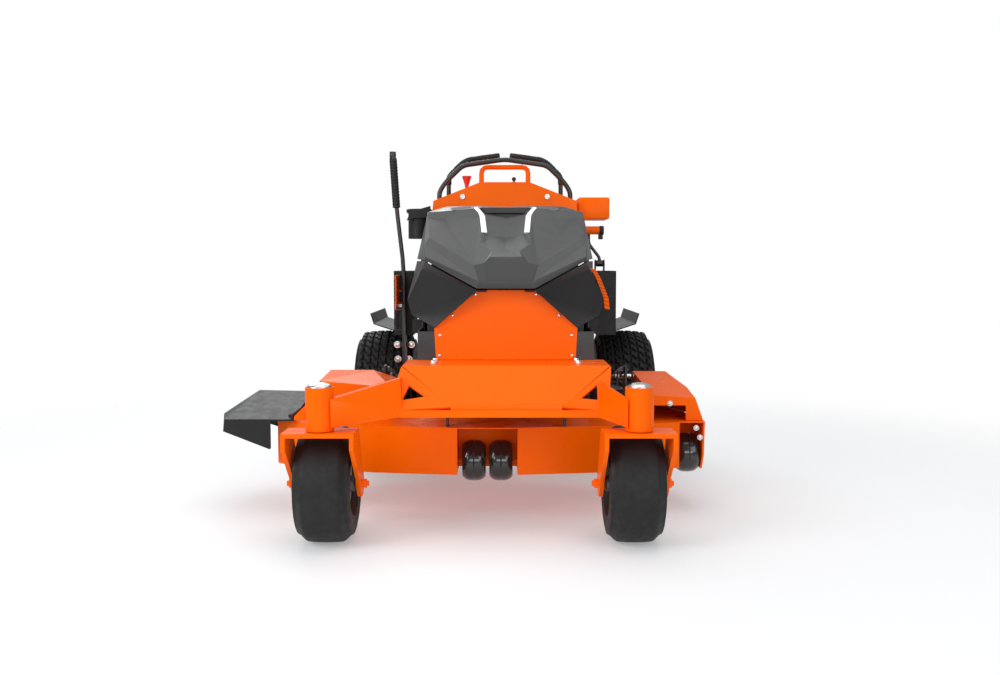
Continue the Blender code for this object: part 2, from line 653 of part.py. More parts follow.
def drive_lever(side, sign):
    y = LEVER_PIVOT_Y
    bent = [(0.214, y, 0.955), (0.214, y, 1.115), (0.150, y, 1.180), (0.018, y, 1.197)]
    path = [(sign * x, b, c) for x, b, c in bent]
    lever = tube("drive_lever_" + side, rounded(path, 0.02, 1), 0.011, BLACK_STEEL, sides=1)
    eye = rod("lever_eye_" + side, (sign * 0.214, y, LEVER_PIVOT_Z), "X", 0.018, -0.013, 0.013, steps=12)
    join(lever, eye)


def side_fittings():
    tray = box("cup_tray", (-0.36, -0.2705), (0.90, 1.06), (0.972, 0.984), BLACK_PLASTIC)
    well = (-0.316, 0.952, 0.93)
    outside = rod("cup_outside", well, "Z", 0.042, -0.052, 0.050, steps=20)
    inside = rod("cup_inside", well, "Z", 0.0385, -0.047, 0.070, steps=20)
    dish = box("tray_dish", (-0.352, -0.279), (1.002, 1.052), (0.976, 0.99))
    cut(join(tray, outside), inside, dish)
    soften(box("side_box", (0.2705, 0.386), (0.93, 1.08), (0.950, 1.030), ORANGE), 0.006, 2)
    pad = box("hip_pad", (-0.20, 0.20), (BAY_REAR + 0.0005, 1.272), (0.70, 0.915), CUSHION)
    soften(pad, 0.018, 3)


# Fenders with their side towers


def fender(side, sign):
    sheet = [(0.2705, 0.528), (0.40, 0.530), (0.490, 0.560), (0.503, 0.600)]
    sheet += [(0.4995, 0.6012), (0.4873, 0.5633), (0.3992, 0.5340), (0.2705, 0.5320)]
    outline = [(sign * x, z) for x, z in sheet]
    guard = plate("fender_" + side, outline, "XZ", 0.95, 1.42, BLACK_PLASTIC)
    low, high = sorted((sign * 0.330, sign * 0.40))
    tower = box("tower_" + side, (low, high), (0.82, 1.0), (0.529, 0.76))
    parts = [tower]
    if side == "left":
        for n, x in enumerate((0.334, 0.366)):
            ear = ring((0.95, 0.785), 0.016, 10, 0, math.pi) + [(0.934, 0.758), (0.966, 0.758)]
            parts.append(plate(f"brake_ear_{n}", ear, "YZ", x, x + 0.004))
    join(guard, *parts)


def parking_brake():
    arm = [(0.343, 0.785), (0.361, 0.785), (0.361, 0.806), (0.318, 0.862), (0.318, 0.905), (0.302, 0.905)]
    arm += [(0.302, 0.855), (0.343, 0.800)]
    lever = plate("parking_brake_lever", arm, "XZ", 0.946, 0.954, ORANGE)
    boss = rod("brake_boss", (0.352, 0.95, 0.787), "X", 0.012, -0.0135, 0.0135)
    handle = rod("brake_handle", (0.32, 0.95, 0.909), "X", 0.0155, -0.047, 0.047, steps=20)
    join(lever, boss, handle)


# Deck lift


def lift():
    plate("lift_quadrant", quadrant_outline(), "YZ", -0.385, -0.380, ORANGE)
    shaft = rod("lift_shaft", (0, LIFT_Y, LIFT_Z), "X", LIFT_SHAFT_R, -0.43, 0.43, BLACK_STEEL, 14)
    tip = (LIFT_Y - math.sqrt(LIFT_ARM**2 - LIFT_ARM_RISE**2), LIFT_Z + LIFT_ARM_RISE)
    lean = math.atan2(LIFT_ARM_RISE, tip[0] - LIFT_Y)
    boss = ring((LIFT_Y, LIFT_Z), 0.026, 10, lean + math.pi / 2, math.pi)
    nose = ring(tip, 0.014, 8, lean - math.pi / 2, math.pi)
    parts = []
    for side, sign in (("right", -1), ("left", 1)):
        low, high = sorted((sign * 0.396, sign * 0.404))
        parts.append(plate("lift_arm_" + side, boss + nose, "YZ", low, high))
        low, high = sorted((sign * 0.400, sign * 0.424))
        parts.append(rod("lift_pin_" + side, (0, *tip), "X", AXLE_BOLT_R, low, high, steps=12))
    join(shaft, *parts)
    lean_y = -0.0625

    def on_lever(z, x=LEVER_X):
        return (x, LIFT_Y + lean_y * (z - LIFT_Z), z)

    foot = ring((LIFT_Y, LIFT_Z), 0.028, 12, math.pi * 0.98, math.pi)
    top_y = LIFT_Y + lean_y * 0.265
    arm_outline = foot + [(top_y + 0.018, 0.64), (top_y - 0.018, 0.64)]
    eye = ring((LIFT_Y, LIFT_Z), LIFT_SHAFT_R + 0.0012, 16)
    lever = plate("lift_lever", arm_outline, "YZ", LEVER_X - 0.006, LEVER_X + 0.006, BLACK_STEEL, holes=(eye,))
    bar = [on_lever(0.56), on_lever(0.775), on_lever(0.99, -0.383), on_lever(1.15, -0.392)]
    grip = [on_lever(0.985, -0.3825), on_lever(1.155, -0.3925)]
    ball = rod("lever_ball", on_lever(1.165, -0.393), "Z", 0.011, -0.011, 0.011, steps=14)
    join(lever, tube("lever_bar", rounded(bar, 0.03, 1), 0.0075), tube("lever_grip", grip, 0.0125), ball)


def quadrant_outline():
    """A toothed sector: a straight back and a comb of teeth towards the lever."""
    teeth = []
    low, high, count = 0.655, 0.735, 6
    step = (high - low) / count
    for n in range(count):
        z = high - n * step
        teeth += [(0.705, z), (0.705, z - step * 0.5), (0.725, z - step * 0.5), (0.725, z - step)]
    return [(0.8195, 0.625), (0.8195, 0.745), (0.705, 0.745)] + teeth + [(0.705, low), (0.705, 0.625)]


# Cutting deck


def inset(outline, distance):
    """The same outline moved inwards: each edge is shifted and its corners are where edges meet."""
    count = len(outline)
    area = sum(a[0] * b[1] - b[0] * a[1] for a, b in zip(outline, outline[1:] + outline[:1]))
    side = 1 if area > 0 else -1
    lines = []
    for n in range(count):
        (x0, y0), (x1, y1) = outline[n], outline[(n + 1) % count]
        length = math.hypot(x1 - x0, y1 - y0)
        nx, ny = -(y1 - y0) / length * side, (x1 - x0) / length * side
        lines.append((nx, ny, nx * x0 + ny * y0 + distance))
    corners = []
    for n in range(count):
        a0, b0, c0 = lines[n - 1]
        a1, b1, c1 = lines[n]
        det = a0 * b1 - a1 * b0
        corners.append(((c0 * b1 - c1 * b0) / det, (a0 * c1 - a1 * c0) / det))
    return corners


NOTCH = (-0.148, 0.035)
NOTCH_REAR = 0.343
DECK_OUTLINE = [
    (NOTCH[1], NOTCH_REAR), (NOTCH[1], 0.207), (0.30, 0.243), (0.545, 0.315), (0.545, 0.482), (0.600, 0.482),
    (0.600, 0.62), (0.52, 0.745), (0.27, 0.765), (0.10, 0.925), (-0.21, 0.925), (-0.38, 0.765), (-0.64, 0.745),
    (-0.733, 0.64), (-0.733, 0.40), (-0.64, 0.315), (-0.40, 0.243), (NOTCH[0], 0.207), (NOTCH[0], NOTCH_REAR),
]


OUTER_SKIRT = [(0.335, 0.2885), (0.345, 0.18), (0.375, 0.132), (0.52, 0.132), (0.555, 0.16), (0.555, 0.2885)]


def blade_centres():
    return {
        "right": (BLADE_X - BLADE_PITCH, OUTER_BLADE_Y),
        "centre": (BLADE_X, CENTRE_BLADE_Y),
        "left": (BLADE_X + BLADE_PITCH, OUTER_BLADE_Y),
    }


def deck_shell():
    deck = plate("deck_shell", DECK_OUTLINE, "XY", DECK_LOW, DECK_TOP, ORANGE)
    hollow = plate("deck_hollow", inset(DECK_OUTLINE, DECK_WALL), "XY", DECK_LOW - 0.02, DECK_TOP - DECK_WALL)
    mouths = [
        rod("spindle_hole_" + side, (x, y, DECK_TOP), "Z", 0.032, -0.02, 0.02, steps=12)
        for side, (x, y) in blade_centres().items()
    ]
    outlet = box("chute_outlet", (-0.76, -0.715), (0.42, 0.62), (0.165, 0.272))
    cut(deck, hollow, outlet, *mouths)
    roof = (DECK_TOP - 0.004, DECK_TOP - 0.0002)
    side_bolt = (0.583, SIDE_ROLLER_Y, ROLLER_Z)
    centre_bolt = (-0.0565, CENTRE_ROLLER_Y, ROLLER_Z)
    join(
        deck,
        box("notch_roof", (NOTCH[0] - 0.002, NOTCH[1] + 0.002), (0.209, NOTCH_REAR + 0.002), roof),
        box("pocket_roof", (0.542, 0.628), (0.330, 0.487), roof),
        plate("outer_skirt", OUTER_SKIRT, "YZ", 0.6225, 0.6285),
        box("skirt_tie", (0.596, 0.625), (0.49, 0.545), (0.20, 0.26)),
        rod("centre_roller_bolt", centre_bolt, "X", AXLE_BOLT_R, -0.106, 0.106, steps=10),
        rod("centre_roller_head", centre_bolt, "X", 0.010, 0.094, 0.101, steps=6),
        rod("centre_roller_nut", centre_bolt, "X", 0.010, -0.101, -0.094, steps=6),
        rod("side_roller_bolt", side_bolt, "X", AXLE_BOLT_R, -0.048, 0.055, steps=10),
        rod("side_roller_head", side_bolt, "X", 0.010, 0.044, 0.051, steps=6),
    )


def blade_drives():
    for side, (x, y) in blade_centres().items():
        can = [(0, 0.092), (0.030, 0.092), (MOTOR_R - 0.003, 0.085), (MOTOR_R, 0.012), (MOTOR_R + 0.014, 0.012)]
        can += [(MOTOR_R + 0.014, GAP), (0.027, GAP), (0.024, -0.085), (0, -0.085)]
        turned("blade_motor_" + side, can, (x, y, DECK_TOP), "Z", BLACK_STEEL, 16)
        long, wide = BLADE_R, 0.029
        outline = [(x - long, y - wide), (x + long - 0.006, y - wide), (x + long, y - wide + 0.02)]
        outline.append((x + long, y + wide))
        outline += [(x - long + 0.006, y + wide), (x - long, y + wide - 0.02)]
        blade = plate("blade_" + side, outline, "XY", BLADE_Z, BLADE_Z + 0.005, GREY)
        sail_high = BLADE_Z + 0.017
        sail_z = (BLADE_Z + 0.003, sail_high)
        near_y, far_y = (y - wide + 0.001, y - wide + 0.004), (y + wide - 0.004, y + wide - 0.001)
        sails = [
            box(f"sail_{side}_a", (x - long + 0.008, x - long + 0.07), near_y, sail_z),
            box(f"sail_{side}_b", (x + long - 0.07, x + long - 0.008), far_y, sail_z),
        ]
        hub = [(0, 0.204), (0.012, 0.204), (0.012, 0.178), (0.024, 0.176), (0.024, 0.148), (0, 0.146)]
        join(blade, *sails, turned("blade_hub_" + side, hub, (x, y, 0), "Z", steps=12))


def rollers():
    half = ROLLER_HALF
    profile = [(ROLLER_BORE_R, half), (0.050, half), (0.0605, half - 0.012), (ROLLER_R, half - 0.028)]
    profile += [(r, -h) for r, h in reversed(profile)]
    spots = {
        "centre_right": (-0.098, CENTRE_ROLLER_Y),
        "centre_left": (-0.015, CENTRE_ROLLER_Y),
        "side": (0.584, SIDE_ROLLER_Y),
    }
    for name, (x, y) in spots.items():
        turned("anti_scalp_roller_" + name, profile, (x, y, ROLLER_Z), "X", BLACK_PLASTIC, 16, closed=True)


def shrunk(points, wall, drop):
    """Corners of a hollow in a convex cover: pulled in by the wall, and let down through its floor."""
    mid_x = sum(p[0] for p in points) / len(points)
    mid_y = sum(p[1] for p in points) / len(points)
    mid_z = sum(p[2] for p in points) / len(points)
    made = []
    for x, y, z in points:
        inner_x = x - math.copysign(wall, x - mid_x)
        inner_y = y - math.copysign(wall, y - mid_y)
        made.append((inner_x, inner_y, z - wall if z > mid_z else z - drop))
    return made


def deck_covers():
    low = DECK_TOP + GAP
    left = [
        (0.463, 0.35, 0.372), (0.600, 0.35, 0.362), (0.600, 0.50, 0.379), (0.560, 0.70, 0.411),
        (0.446, 0.70, 0.411),
    ]
    spots = [(0.463, 0.35), (0.626, 0.35), (0.622, 0.482), (0.548, 0.70), (0.446, 0.70)]
    left_foot = [(x, y, low) for x, y in spots]
    cover = hull("deck_cover_left", left + left_foot, ORANGE)
    cut(cover, hull("cover_hollow_left", shrunk(left + left_foot, 0.004, 0.02)),
        box("cover_gap_left", (0.47, 0.57), (0.30, 0.365), (low - 0.01, 0.338)))
    right = [
        (-0.595, 0.385, 0.412), (-0.365, 0.385, 0.392), (-0.365, 0.6085, 0.397), (-0.450, 0.6085, 0.425),
        (-0.595, 0.6085, 0.425),
    ]
    right_foot = [(x, y, low) for x, y, z in right]
    cover = hull("deck_cover_right", right + right_foot, ORANGE)
    cut(cover, hull("cover_hollow_right", shrunk(right + right_foot, 0.004, 0.02)))


def discharge_chute():
    top = [
        (-0.668, 0.31, 0.300), (-0.880, 0.31, 0.300), (-0.905, 0.40, 0.306), (-0.850, 0.655, 0.350),
        (-0.668, 0.665, 0.345),
    ]
    foot = [
        (-0.740, 0.31, 0.205), (-0.885, 0.31, 0.262), (-0.905, 0.40, 0.250), (-0.850, 0.655, 0.245),
        (-0.740, 0.665, 0.205),
    ]
    heel = [(-0.668, 0.31, 0.2945), (-0.668, 0.665, 0.2945)]
    chute = hull("discharge_chute", top + foot + heel, BLACK_PLASTIC)
    inner_top = [
        (-0.690, 0.314, 0.2960), (-0.877, 0.314, 0.2960), (-0.901, 0.401, 0.302), (-0.847, 0.651, 0.345),
        (-0.690, 0.661, 0.340),
    ]
    inner_foot = [(x, y, 0.15) for x, y, z in inner_top]
    rod_y = (0.31 + 0.665) / 2
    cut(
        chute,
        box("chute_deck_room", (-0.7365, -0.60), (0.25, 0.70), (0.10, 0.2943)),
        hull("chute_hollow", inner_top + inner_foot),
    )
    join(chute, rod("chute_hinge_rod", (-0.672, rod_y, 0.312), "Y", 0.006, -0.19, 0.19, steps=12))


def hanger_links():
    tip_y = LIFT_Y - math.sqrt(LIFT_ARM**2 - LIFT_ARM_RISE**2)
    tip_z = LIFT_Z + LIFT_ARM_RISE
    foot = DECK_TOP + GAP
    pin_z = 0.372
    for side, sign in (("right", -1), ("left", 1)):
        low, high = sorted((sign * 0.4083, sign * 0.4163))
        front, rear, top = tip_y - 0.024, tip_y + 0.020, tip_z + 0.018
        strap = [(front, foot), (rear, foot), (rear, top), (front, top)]
        eye = slot((tip_y - 0.002, tip_z), 0.0125, 0.0072)
        plate("rear_hanger_" + side, strap, "YZ", low, high, BLACK_STEEL, holes=(eye,))
        low, high = sorted((sign * 0.175, sign * 0.183))
        strap = [(0.228, foot), (0.262, foot), (0.262, 0.478), (0.228, 0.478)]
        eye = slot((0.245, pin_z + DECK_TRAVEL / 2), 0.0062, DECK_TRAVEL / 2 + 0.0075)
        plate("front_hanger_" + side, strap, "YZ", low, high, BLACK_STEEL, holes=(eye,))


# Operator platform


def platform():
    y, z = PLATFORM_HINGE_Y, PLATFORM_HINGE_Z
    deck = box("platform_plate", (-0.285, 0.285), (y + 0.035, PLATFORM_REAR), (z - 0.012, z + 0.006), ORANGE)
    neck = box("platform_neck", (-0.222, 0.222), (y - 0.014, y + 0.05), (z - 0.012, z + 0.006))
    pin = rod("platform_pin", (0, y, z), "X", 0.008, -0.237, 0.237, steps=12)
    lip = box("platform_lip", (-0.285, 0.285), (PLATFORM_REAR - 0.005, PLATFORM_REAR), (z - 0.04, z))
    join(deck, neck, pin, lip)
    mat_y, mat_z = (y + 0.045, PLATFORM_REAR - 0.012), (z + 0.0065, z + 0.018)
    mat = box("platform_mat", (-0.27, 0.27), mat_y, mat_z, BLACK_PLASTIC)
    soften(mat, 0.004, 1)


front_frame()
main_frame()
battery_bay()
front_panel()
hood()
console()
reference_bar()
side_fittings()
parking_brake()
lift()
deck_shell()
blade_drives()
rollers()
deck_covers()
discharge_chute()
hanger_links()
platform()
for place_name, direction in (("right", -1), ("left", 1)):
    caster(place_name)
    drive_wheel(place_name, direction)
    drive_lever(place_name, direction)
    fender(place_name, direction)
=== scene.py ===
"""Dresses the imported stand-on mower: finer skins, tyre tread, fasteners, grips, a stuffed pad and a studio.

Laid out as a Blender add-on and run as a script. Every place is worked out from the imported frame, whose
console
gives the machine's middle and whose front tyres give the caster axle line.
"""

import json
import math

import bmesh
import bpy
import numpy as np
from mathutils import Matrix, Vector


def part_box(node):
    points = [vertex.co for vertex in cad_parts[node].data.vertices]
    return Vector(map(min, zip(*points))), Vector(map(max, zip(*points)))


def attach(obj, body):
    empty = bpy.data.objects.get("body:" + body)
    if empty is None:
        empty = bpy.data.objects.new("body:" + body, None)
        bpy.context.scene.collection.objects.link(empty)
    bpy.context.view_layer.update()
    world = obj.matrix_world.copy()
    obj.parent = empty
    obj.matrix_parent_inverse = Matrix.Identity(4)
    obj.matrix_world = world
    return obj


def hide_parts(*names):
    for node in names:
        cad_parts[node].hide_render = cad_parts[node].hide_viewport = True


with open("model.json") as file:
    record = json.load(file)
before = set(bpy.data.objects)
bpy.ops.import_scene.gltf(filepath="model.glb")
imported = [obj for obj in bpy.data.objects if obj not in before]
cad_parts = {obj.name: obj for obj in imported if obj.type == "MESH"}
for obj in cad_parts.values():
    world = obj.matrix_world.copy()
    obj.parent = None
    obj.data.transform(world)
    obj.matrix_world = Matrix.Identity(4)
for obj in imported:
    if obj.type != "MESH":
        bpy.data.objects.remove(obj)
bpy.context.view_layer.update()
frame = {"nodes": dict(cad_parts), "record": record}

bl_info = {
    "name": "Stand-on Mower Dressing",
    "version": (1, 0, 0),
    "blender": (4, 5, 0),
    "location": "View3D > Sidebar > Mower",
    "description": "Skins, tread, fasteners, soft pad and studio around a packed stand-on mower",
    "category": "Object",
}


def corners(node):
    low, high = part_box(node)
    return np.array(low), np.array(high)


def middle(node):
    low, high = corners(node)
    return (low + high) / 2


MID_X = middle("control_console")[0]
AXLE_Y = middle("caster_tyre_left")[1]


def at(x, y, z):
    """A point in the machine's own layout, from the middle plane and the caster axle line, as a world
    point."""
    return np.array([x + MID_X, y + AXLE_Y, z])


# Settings

BLOCK_STEPS = 12
LID_WALL = 0.003
FOLD_WIDTH = 0.0016
LAMP_SINK = 0.0015
LEVER_X = 0.214
GRIP_STEPS = 90
RIB_STEPS = 80
PAD_VOXEL = 0.005
CLOTH_FRAMES = 20
PIPING_RADIUS = 0.0028
CAMERA_PLACE = (-0.018, -2.851, 0.785)


def colour_setting(name, description, default):
    return bpy.props.FloatVectorProperty(
        name=name, description=description, subtype="COLOR", size=3, default=default
    )


def length_setting(name, description, default, low, high):
    return bpy.props.FloatProperty(
        name=name, description=description, default=default, min=low, max=high, unit="LENGTH"
    )


class MowerColours(bpy.types.PropertyGroup):
    orange: colour_setting("Orange", "Powder coat on the frame and deck", (1.0, 0.134, 0.0))
    charcoal: colour_setting("Charcoal", "Moulded hood", (0.033, 0.033, 0.034))
    black: colour_setting("Black", "Painted steel and plain plastic", (0.012, 0.012, 0.013))
    rubber: colour_setting("Rubber", "Tyres and mat", (0.012, 0.012, 0.012))
    zinc: colour_setting("Zinc", "Plated fasteners and caps", (0.72, 0.71, 0.69))


class MowerSizes(bpy.types.PropertyGroup):
    tread_depth: length_setting("Tread depth", "Depth of the turf blocks", 0.009, 0.0, 0.02)
    tread_rows: bpy.props.IntProperty(
        name="Tread rows", description="Blocks round a drive tyre", default=44, min=12, max=80
    )
    edge: length_setting("Edge radius", "Rounding of sheet metal edges", 0.0012, 0.0003, 0.004)
    bolt: length_setting("Bolt head", "Radius of a common bolt head", 0.0075, 0.003, 0.02)
    pad_swell: length_setting("Pad swell", "Furthest that the stuffed pad bulges", 0.012, 0.0, 0.03)


class StageSettings(bpy.types.PropertyGroup):
    lens: bpy.props.FloatProperty(name="Lens", description="Focal length", default=36.69, unit="CAMERA")
    pitch: bpy.props.FloatProperty(
        name="Pitch", description="Angle of the camera below level", default=math.radians(4.13),
        subtype="ANGLE"
    )
    floor: bpy.props.FloatProperty(name="Floor radius", description="Reach of the floor", default=9.0,
        unit="LENGTH")


# Materials


class Finish:
    """A principled material whose colour, roughness and bump come from noise on object coordinates."""

    def __init__(self, name, colour, roughness, metallic=0.0):
        self.made = bpy.data.materials.new(name)
        self.made.use_nodes = True
        self.made.diffuse_color = (*colour, 1)
        self.nodes = self.made.node_tree.nodes
        self.links = self.made.node_tree.links
        self.shader = self.nodes["Principled BSDF"]
        self.shader.inputs["Metallic"].default_value = metallic
        self.colour = colour
        self.roughness = roughness
        self.coords = self.nodes.new("ShaderNodeTexCoord")
        self.last_bump = None
        self.shader.inputs["Base Color"].default_value = (*colour, 1)
        self.shader.inputs["Roughness"].default_value = roughness

    def noise(self, scale, detail=4.0, stretch=(1, 1, 1)):
        mapping = self.nodes.new("ShaderNodeMapping")
        mapping.inputs["Scale"].default_value = stretch
        texture = self.nodes.new("ShaderNodeTexNoise")
        texture.inputs["Scale"].default_value = scale
        texture.inputs["Detail"].default_value = detail
        self.links.new(self.coords.outputs["Object"], mapping.inputs["Vector"])
        self.links.new(mapping.outputs["Vector"], texture.inputs["Vector"])
        return texture.outputs["Fac"]

    def spread(self, factor, low, high):
        """Takes a texture value from its middle band to the given span."""
        span = self.nodes.new("ShaderNodeMapRange")
        span.inputs["From Min"].default_value = 0.3
        span.inputs["From Max"].default_value = 0.7
        span.inputs["To Min"].default_value = low
        span.inputs["To Max"].default_value = high
        self.links.new(factor, span.inputs["Value"])
        return span.outputs["Result"]

    def tint(self, factor, dark, light):
        """Blends two shades of the base colour by a texture value."""
        ramp = self.nodes.new("ShaderNodeValToRGB")
        ramp.color_ramp.elements[0].position = 0.3
        ramp.color_ramp.elements[1].position = 0.7
        ramp.color_ramp.elements[0].color = (*[min(1, c * dark) for c in self.colour], 1)
        ramp.color_ramp.elements[1].color = (*[min(1, c * light) for c in self.colour], 1)
        self.links.new(factor, ramp.inputs["Fac"])
        self.links.new(ramp.outputs["Color"], self.shader.inputs["Base Color"])
        return self

    def rough(self, factor, amount):
        low, high = max(0.02, self.roughness - amount), min(1, self.roughness + amount)
        self.links.new(self.spread(factor, low, high), self.shader.inputs["Roughness"])
        return self

    def bump(self, factor, distance, strength=0.5):
        bump = self.nodes.new("ShaderNodeBump")
        bump.inputs["Distance"].default_value = distance
        bump.inputs["Strength"].default_value = strength
        self.links.new(factor, bump.inputs["Height"])
        if self.last_bump:
            self.links.new(self.last_bump.outputs["Normal"], bump.inputs["Normal"])
        self.last_bump = bump
        self.links.new(bump.outputs["Normal"], self.shader.inputs["Normal"])
        return self

    def coat(self, weight, roughness=0.08):
        self.shader.inputs["Coat Weight"].default_value = weight
        self.shader.inputs["Coat Roughness"].default_value = roughness
        return self


def orange_paint(colour):
    """Glossy powder coat: faint orange peel, slow shade drift and a clear coat."""
    made = Finish("orange_paint", colour, 0.3)
    made.shader.inputs["Specular IOR Level"].default_value = 0.08
    made.tint(made.noise(3.0), 0.94, 1.02).rough(made.noise(14.0), 0.06)
    return made.bump(made.noise(420.0, 2.0), 0.0004, 0.08).coat(0.03, 0.12).made


def charcoal_plastic(colour):
    """Moulded hood plastic: fine leather-like grain under a satin sheen."""
    made = Finish("charcoal_plastic", colour, 0.36)
    made.tint(made.noise(5.0), 0.96, 1.04).rough(made.noise(22.0), 0.04)
    return made.bump(made.noise(900.0, 3.0), 0.0003, 0.25).made


def cheek_plastic(colour):
    """Darker moulding of the lower hood, smoother than the lid."""
    made = Finish("cheek_plastic", [c * 0.62 for c in colour], 0.48)
    made.shader.inputs["Specular IOR Level"].default_value = 0.25
    made.tint(made.noise(6.0), 0.9, 1.12).rough(made.noise(24.0), 0.06)
    return made.bump(made.noise(900.0, 3.0), 0.0003, 0.2).made


def black_paint(colour):
    """Satin black paint on steel, with a little dust that lightens it in patches."""
    made = Finish("black_steel", colour, 0.36)
    made.tint(made.noise(9.0), 0.8, 1.8).rough(made.noise(30.0), 0.1)
    return made.bump(made.noise(500.0, 2.0), 0.0003, 0.15).coat(0.15, 0.2).made


def black_plastic(colour):
    """Matt moulded plastic with an even pebble grain."""
    made = Finish("black_plastic", colour, 0.5)
    made.shader.inputs["Specular IOR Level"].default_value = 0.3
    made.tint(made.noise(7.0), 0.9, 1.2).rough(made.noise(40.0), 0.06)
    return made.bump(made.noise(1100.0, 2.0), 0.0003, 0.18).made


def gloss_black(colour):
    """Polished black nylon, as on the deck rollers."""
    made = Finish("gloss_black", colour, 0.16)
    made.rough(made.noise(35.0), 0.06)
    return made.bump(made.noise(160.0, 3.0), 0.0002, 0.1).coat(0.5, 0.05).made


def tyre_rubber(colour):
    """Cured rubber: dull, slightly mottled, with dust in its hollows."""
    made = Finish("tyre_rubber", colour, 0.6)
    made.shader.inputs["Specular IOR Level"].default_value = 0.3
    made.tint(made.noise(26.0, 6.0), 0.8, 1.3).rough(made.noise(60.0), 0.1)
    return made.bump(made.noise(700.0, 4.0), 0.0004, 0.4).made


def zinc_plate(colour):
    """Bright plating with the faint cloudiness of a dipped part."""
    made = Finish("zinc_plate", colour, 0.27, 1.0)
    made.tint(made.noise(120.0), 0.82, 1.1).rough(made.noise(90.0), 0.1)
    return made.bump(made.noise(800.0), 0.0001, 0.2).made


def cast_metal():
    """Sand-cast grey metal, pitted and dull."""
    made = Finish("grey_cast", (0.23, 0.23, 0.24), 0.55, 0.7)
    made.tint(made.noise(40.0), 0.75, 1.2).rough(made.noise(70.0), 0.1)
    return made.bump(made.noise(600.0, 6.0), 0.0005, 0.5).made


def blade_steel():
    """Hard grey steel, brushed along the blade."""
    made = Finish("blade_steel", (0.32, 0.32, 0.33), 0.38, 0.85)
    streaks = made.noise(60.0, 4.0, (1, 14, 14))
    return made.tint(streaks, 0.7, 1.15).rough(streaks, 0.12).bump(streaks, 0.0002, 0.3).made


def battery_case():
    made = Finish("battery_case", (0.05, 0.055, 0.062), 0.55)
    made.tint(made.noise(8.0), 0.85, 1.2).rough(made.noise(30.0), 0.08)
    return made.bump(made.noise(900.0), 0.0003, 0.3).made


def pad_cover(colour):
    """Soft vinyl: a leather grain of small cells and creases that only the light shows."""
    made = Finish("pad_cover", [c * 1.5 for c in colour], 0.5)
    cells = made.nodes.new("ShaderNodeTexVoronoi")
    cells.feature = "DISTANCE_TO_EDGE"
    cells.inputs["Scale"].default_value = 380.0
    made.links.new(made.coords.outputs["Object"], cells.inputs["Vector"])
    made.shader.inputs["Sheen Weight"].default_value = 0.15
    made.tint(made.noise(18.0), 0.85, 1.3).rough(made.noise(45.0), 0.08)
    return made.bump(cells.outputs["Distance"], 0.0006, 0.5).bump(made.noise(60.0), 0.0006, 0.2).made


def red_plastic():
    made = Finish("red_plastic", (0.75, 0.015, 0.008), 0.25)
    made.tint(made.noise(30.0), 0.9, 1.05).rough(made.noise(50.0), 0.05)
    return made.bump(made.noise(500.0), 0.0001, 0.1).coat(0.4, 0.06).made


def lamp_lens():
    """Milky lamp cover: bright white with soft inner cloud."""
    made = Finish("lamp_lens", (0.92, 0.93, 0.95), 0.2)
    made.tint(made.noise(60.0), 0.94, 1.0).rough(made.noise(80.0), 0.05)
    made.shader.inputs["Emission Color"].default_value = (1.0, 1.0, 1.0, 1)
    made.shader.inputs["Emission Strength"].default_value = 0.35
    return made.coat(0.6, 0.04).made


class Palette(dict):
    """The finishes by name, each made once."""

    def fill(self, colours):
        self["orange"] = orange_paint(colours.orange)
        self["charcoal"] = charcoal_plastic(colours.charcoal)
        self["cheek"] = cheek_plastic(colours.charcoal)
        # Painted highlight: a lit copy of the hood plastic at three times its colour, used for the pale pads
        # on the brow.
        self["painted_highlight"] = charcoal_plastic([c * 3 for c in colours.charcoal])
        self["steel"] = black_paint(colours.black)
        self["plastic"] = black_plastic(colours.black)
        self["gloss"] = gloss_black(colours.black)
        self["rubber"] = tyre_rubber(colours.rubber)
        self["zinc"] = zinc_plate(colours.zinc)
        self["cast"] = cast_metal()
        self["blade"] = blade_steel()
        self["battery"] = battery_case()
        self["vinyl"] = pad_cover(colours.black)
        self["red"] = red_plastic()
        self["lamp"] = lamp_lens()


PALETTE = Palette()
NODE_FINISH = {
    "orange_paint": "orange", "charcoal_plastic": "charcoal", "drive_rim_paint": "steel",
    "tyre_rubber": "rubber",
    "roller_plastic": "gloss", "black_plastic": "plastic", "mat_rubber": "rubber", "zinc_plate": "zinc",
    "grey_cast": "cast", "bearing_steel": "zinc", "blade_steel": "blade", "battery_case": "battery",
    "pad_cover": "vinyl", "red_plastic": "red", "black_steel": "steel",
}


# Surfaces


def around_in(steps):
    """Equal angles round a full turn."""
    return np.linspace(0, 2 * math.pi, steps, endpoint=False)


def quads(rows, columns, wrap_rows=False, wrap_columns=False):
    """Index quads of a grid of points, joined end to end along either way where it wraps."""
    r = np.arange(rows if wrap_rows else rows - 1)
    c = np.arange(columns if wrap_columns else columns - 1)
    row, column = np.meshgrid(r, c, indexing="ij")
    after_row, after_column = (row + 1) % rows, (column + 1) % columns
    first = row * columns + column
    second = row * columns + after_column
    third = after_row * columns + after_column
    fourth = after_row * columns + column
    return np.stack([first, second, third, fourth], axis=-1).reshape(-1, 4)


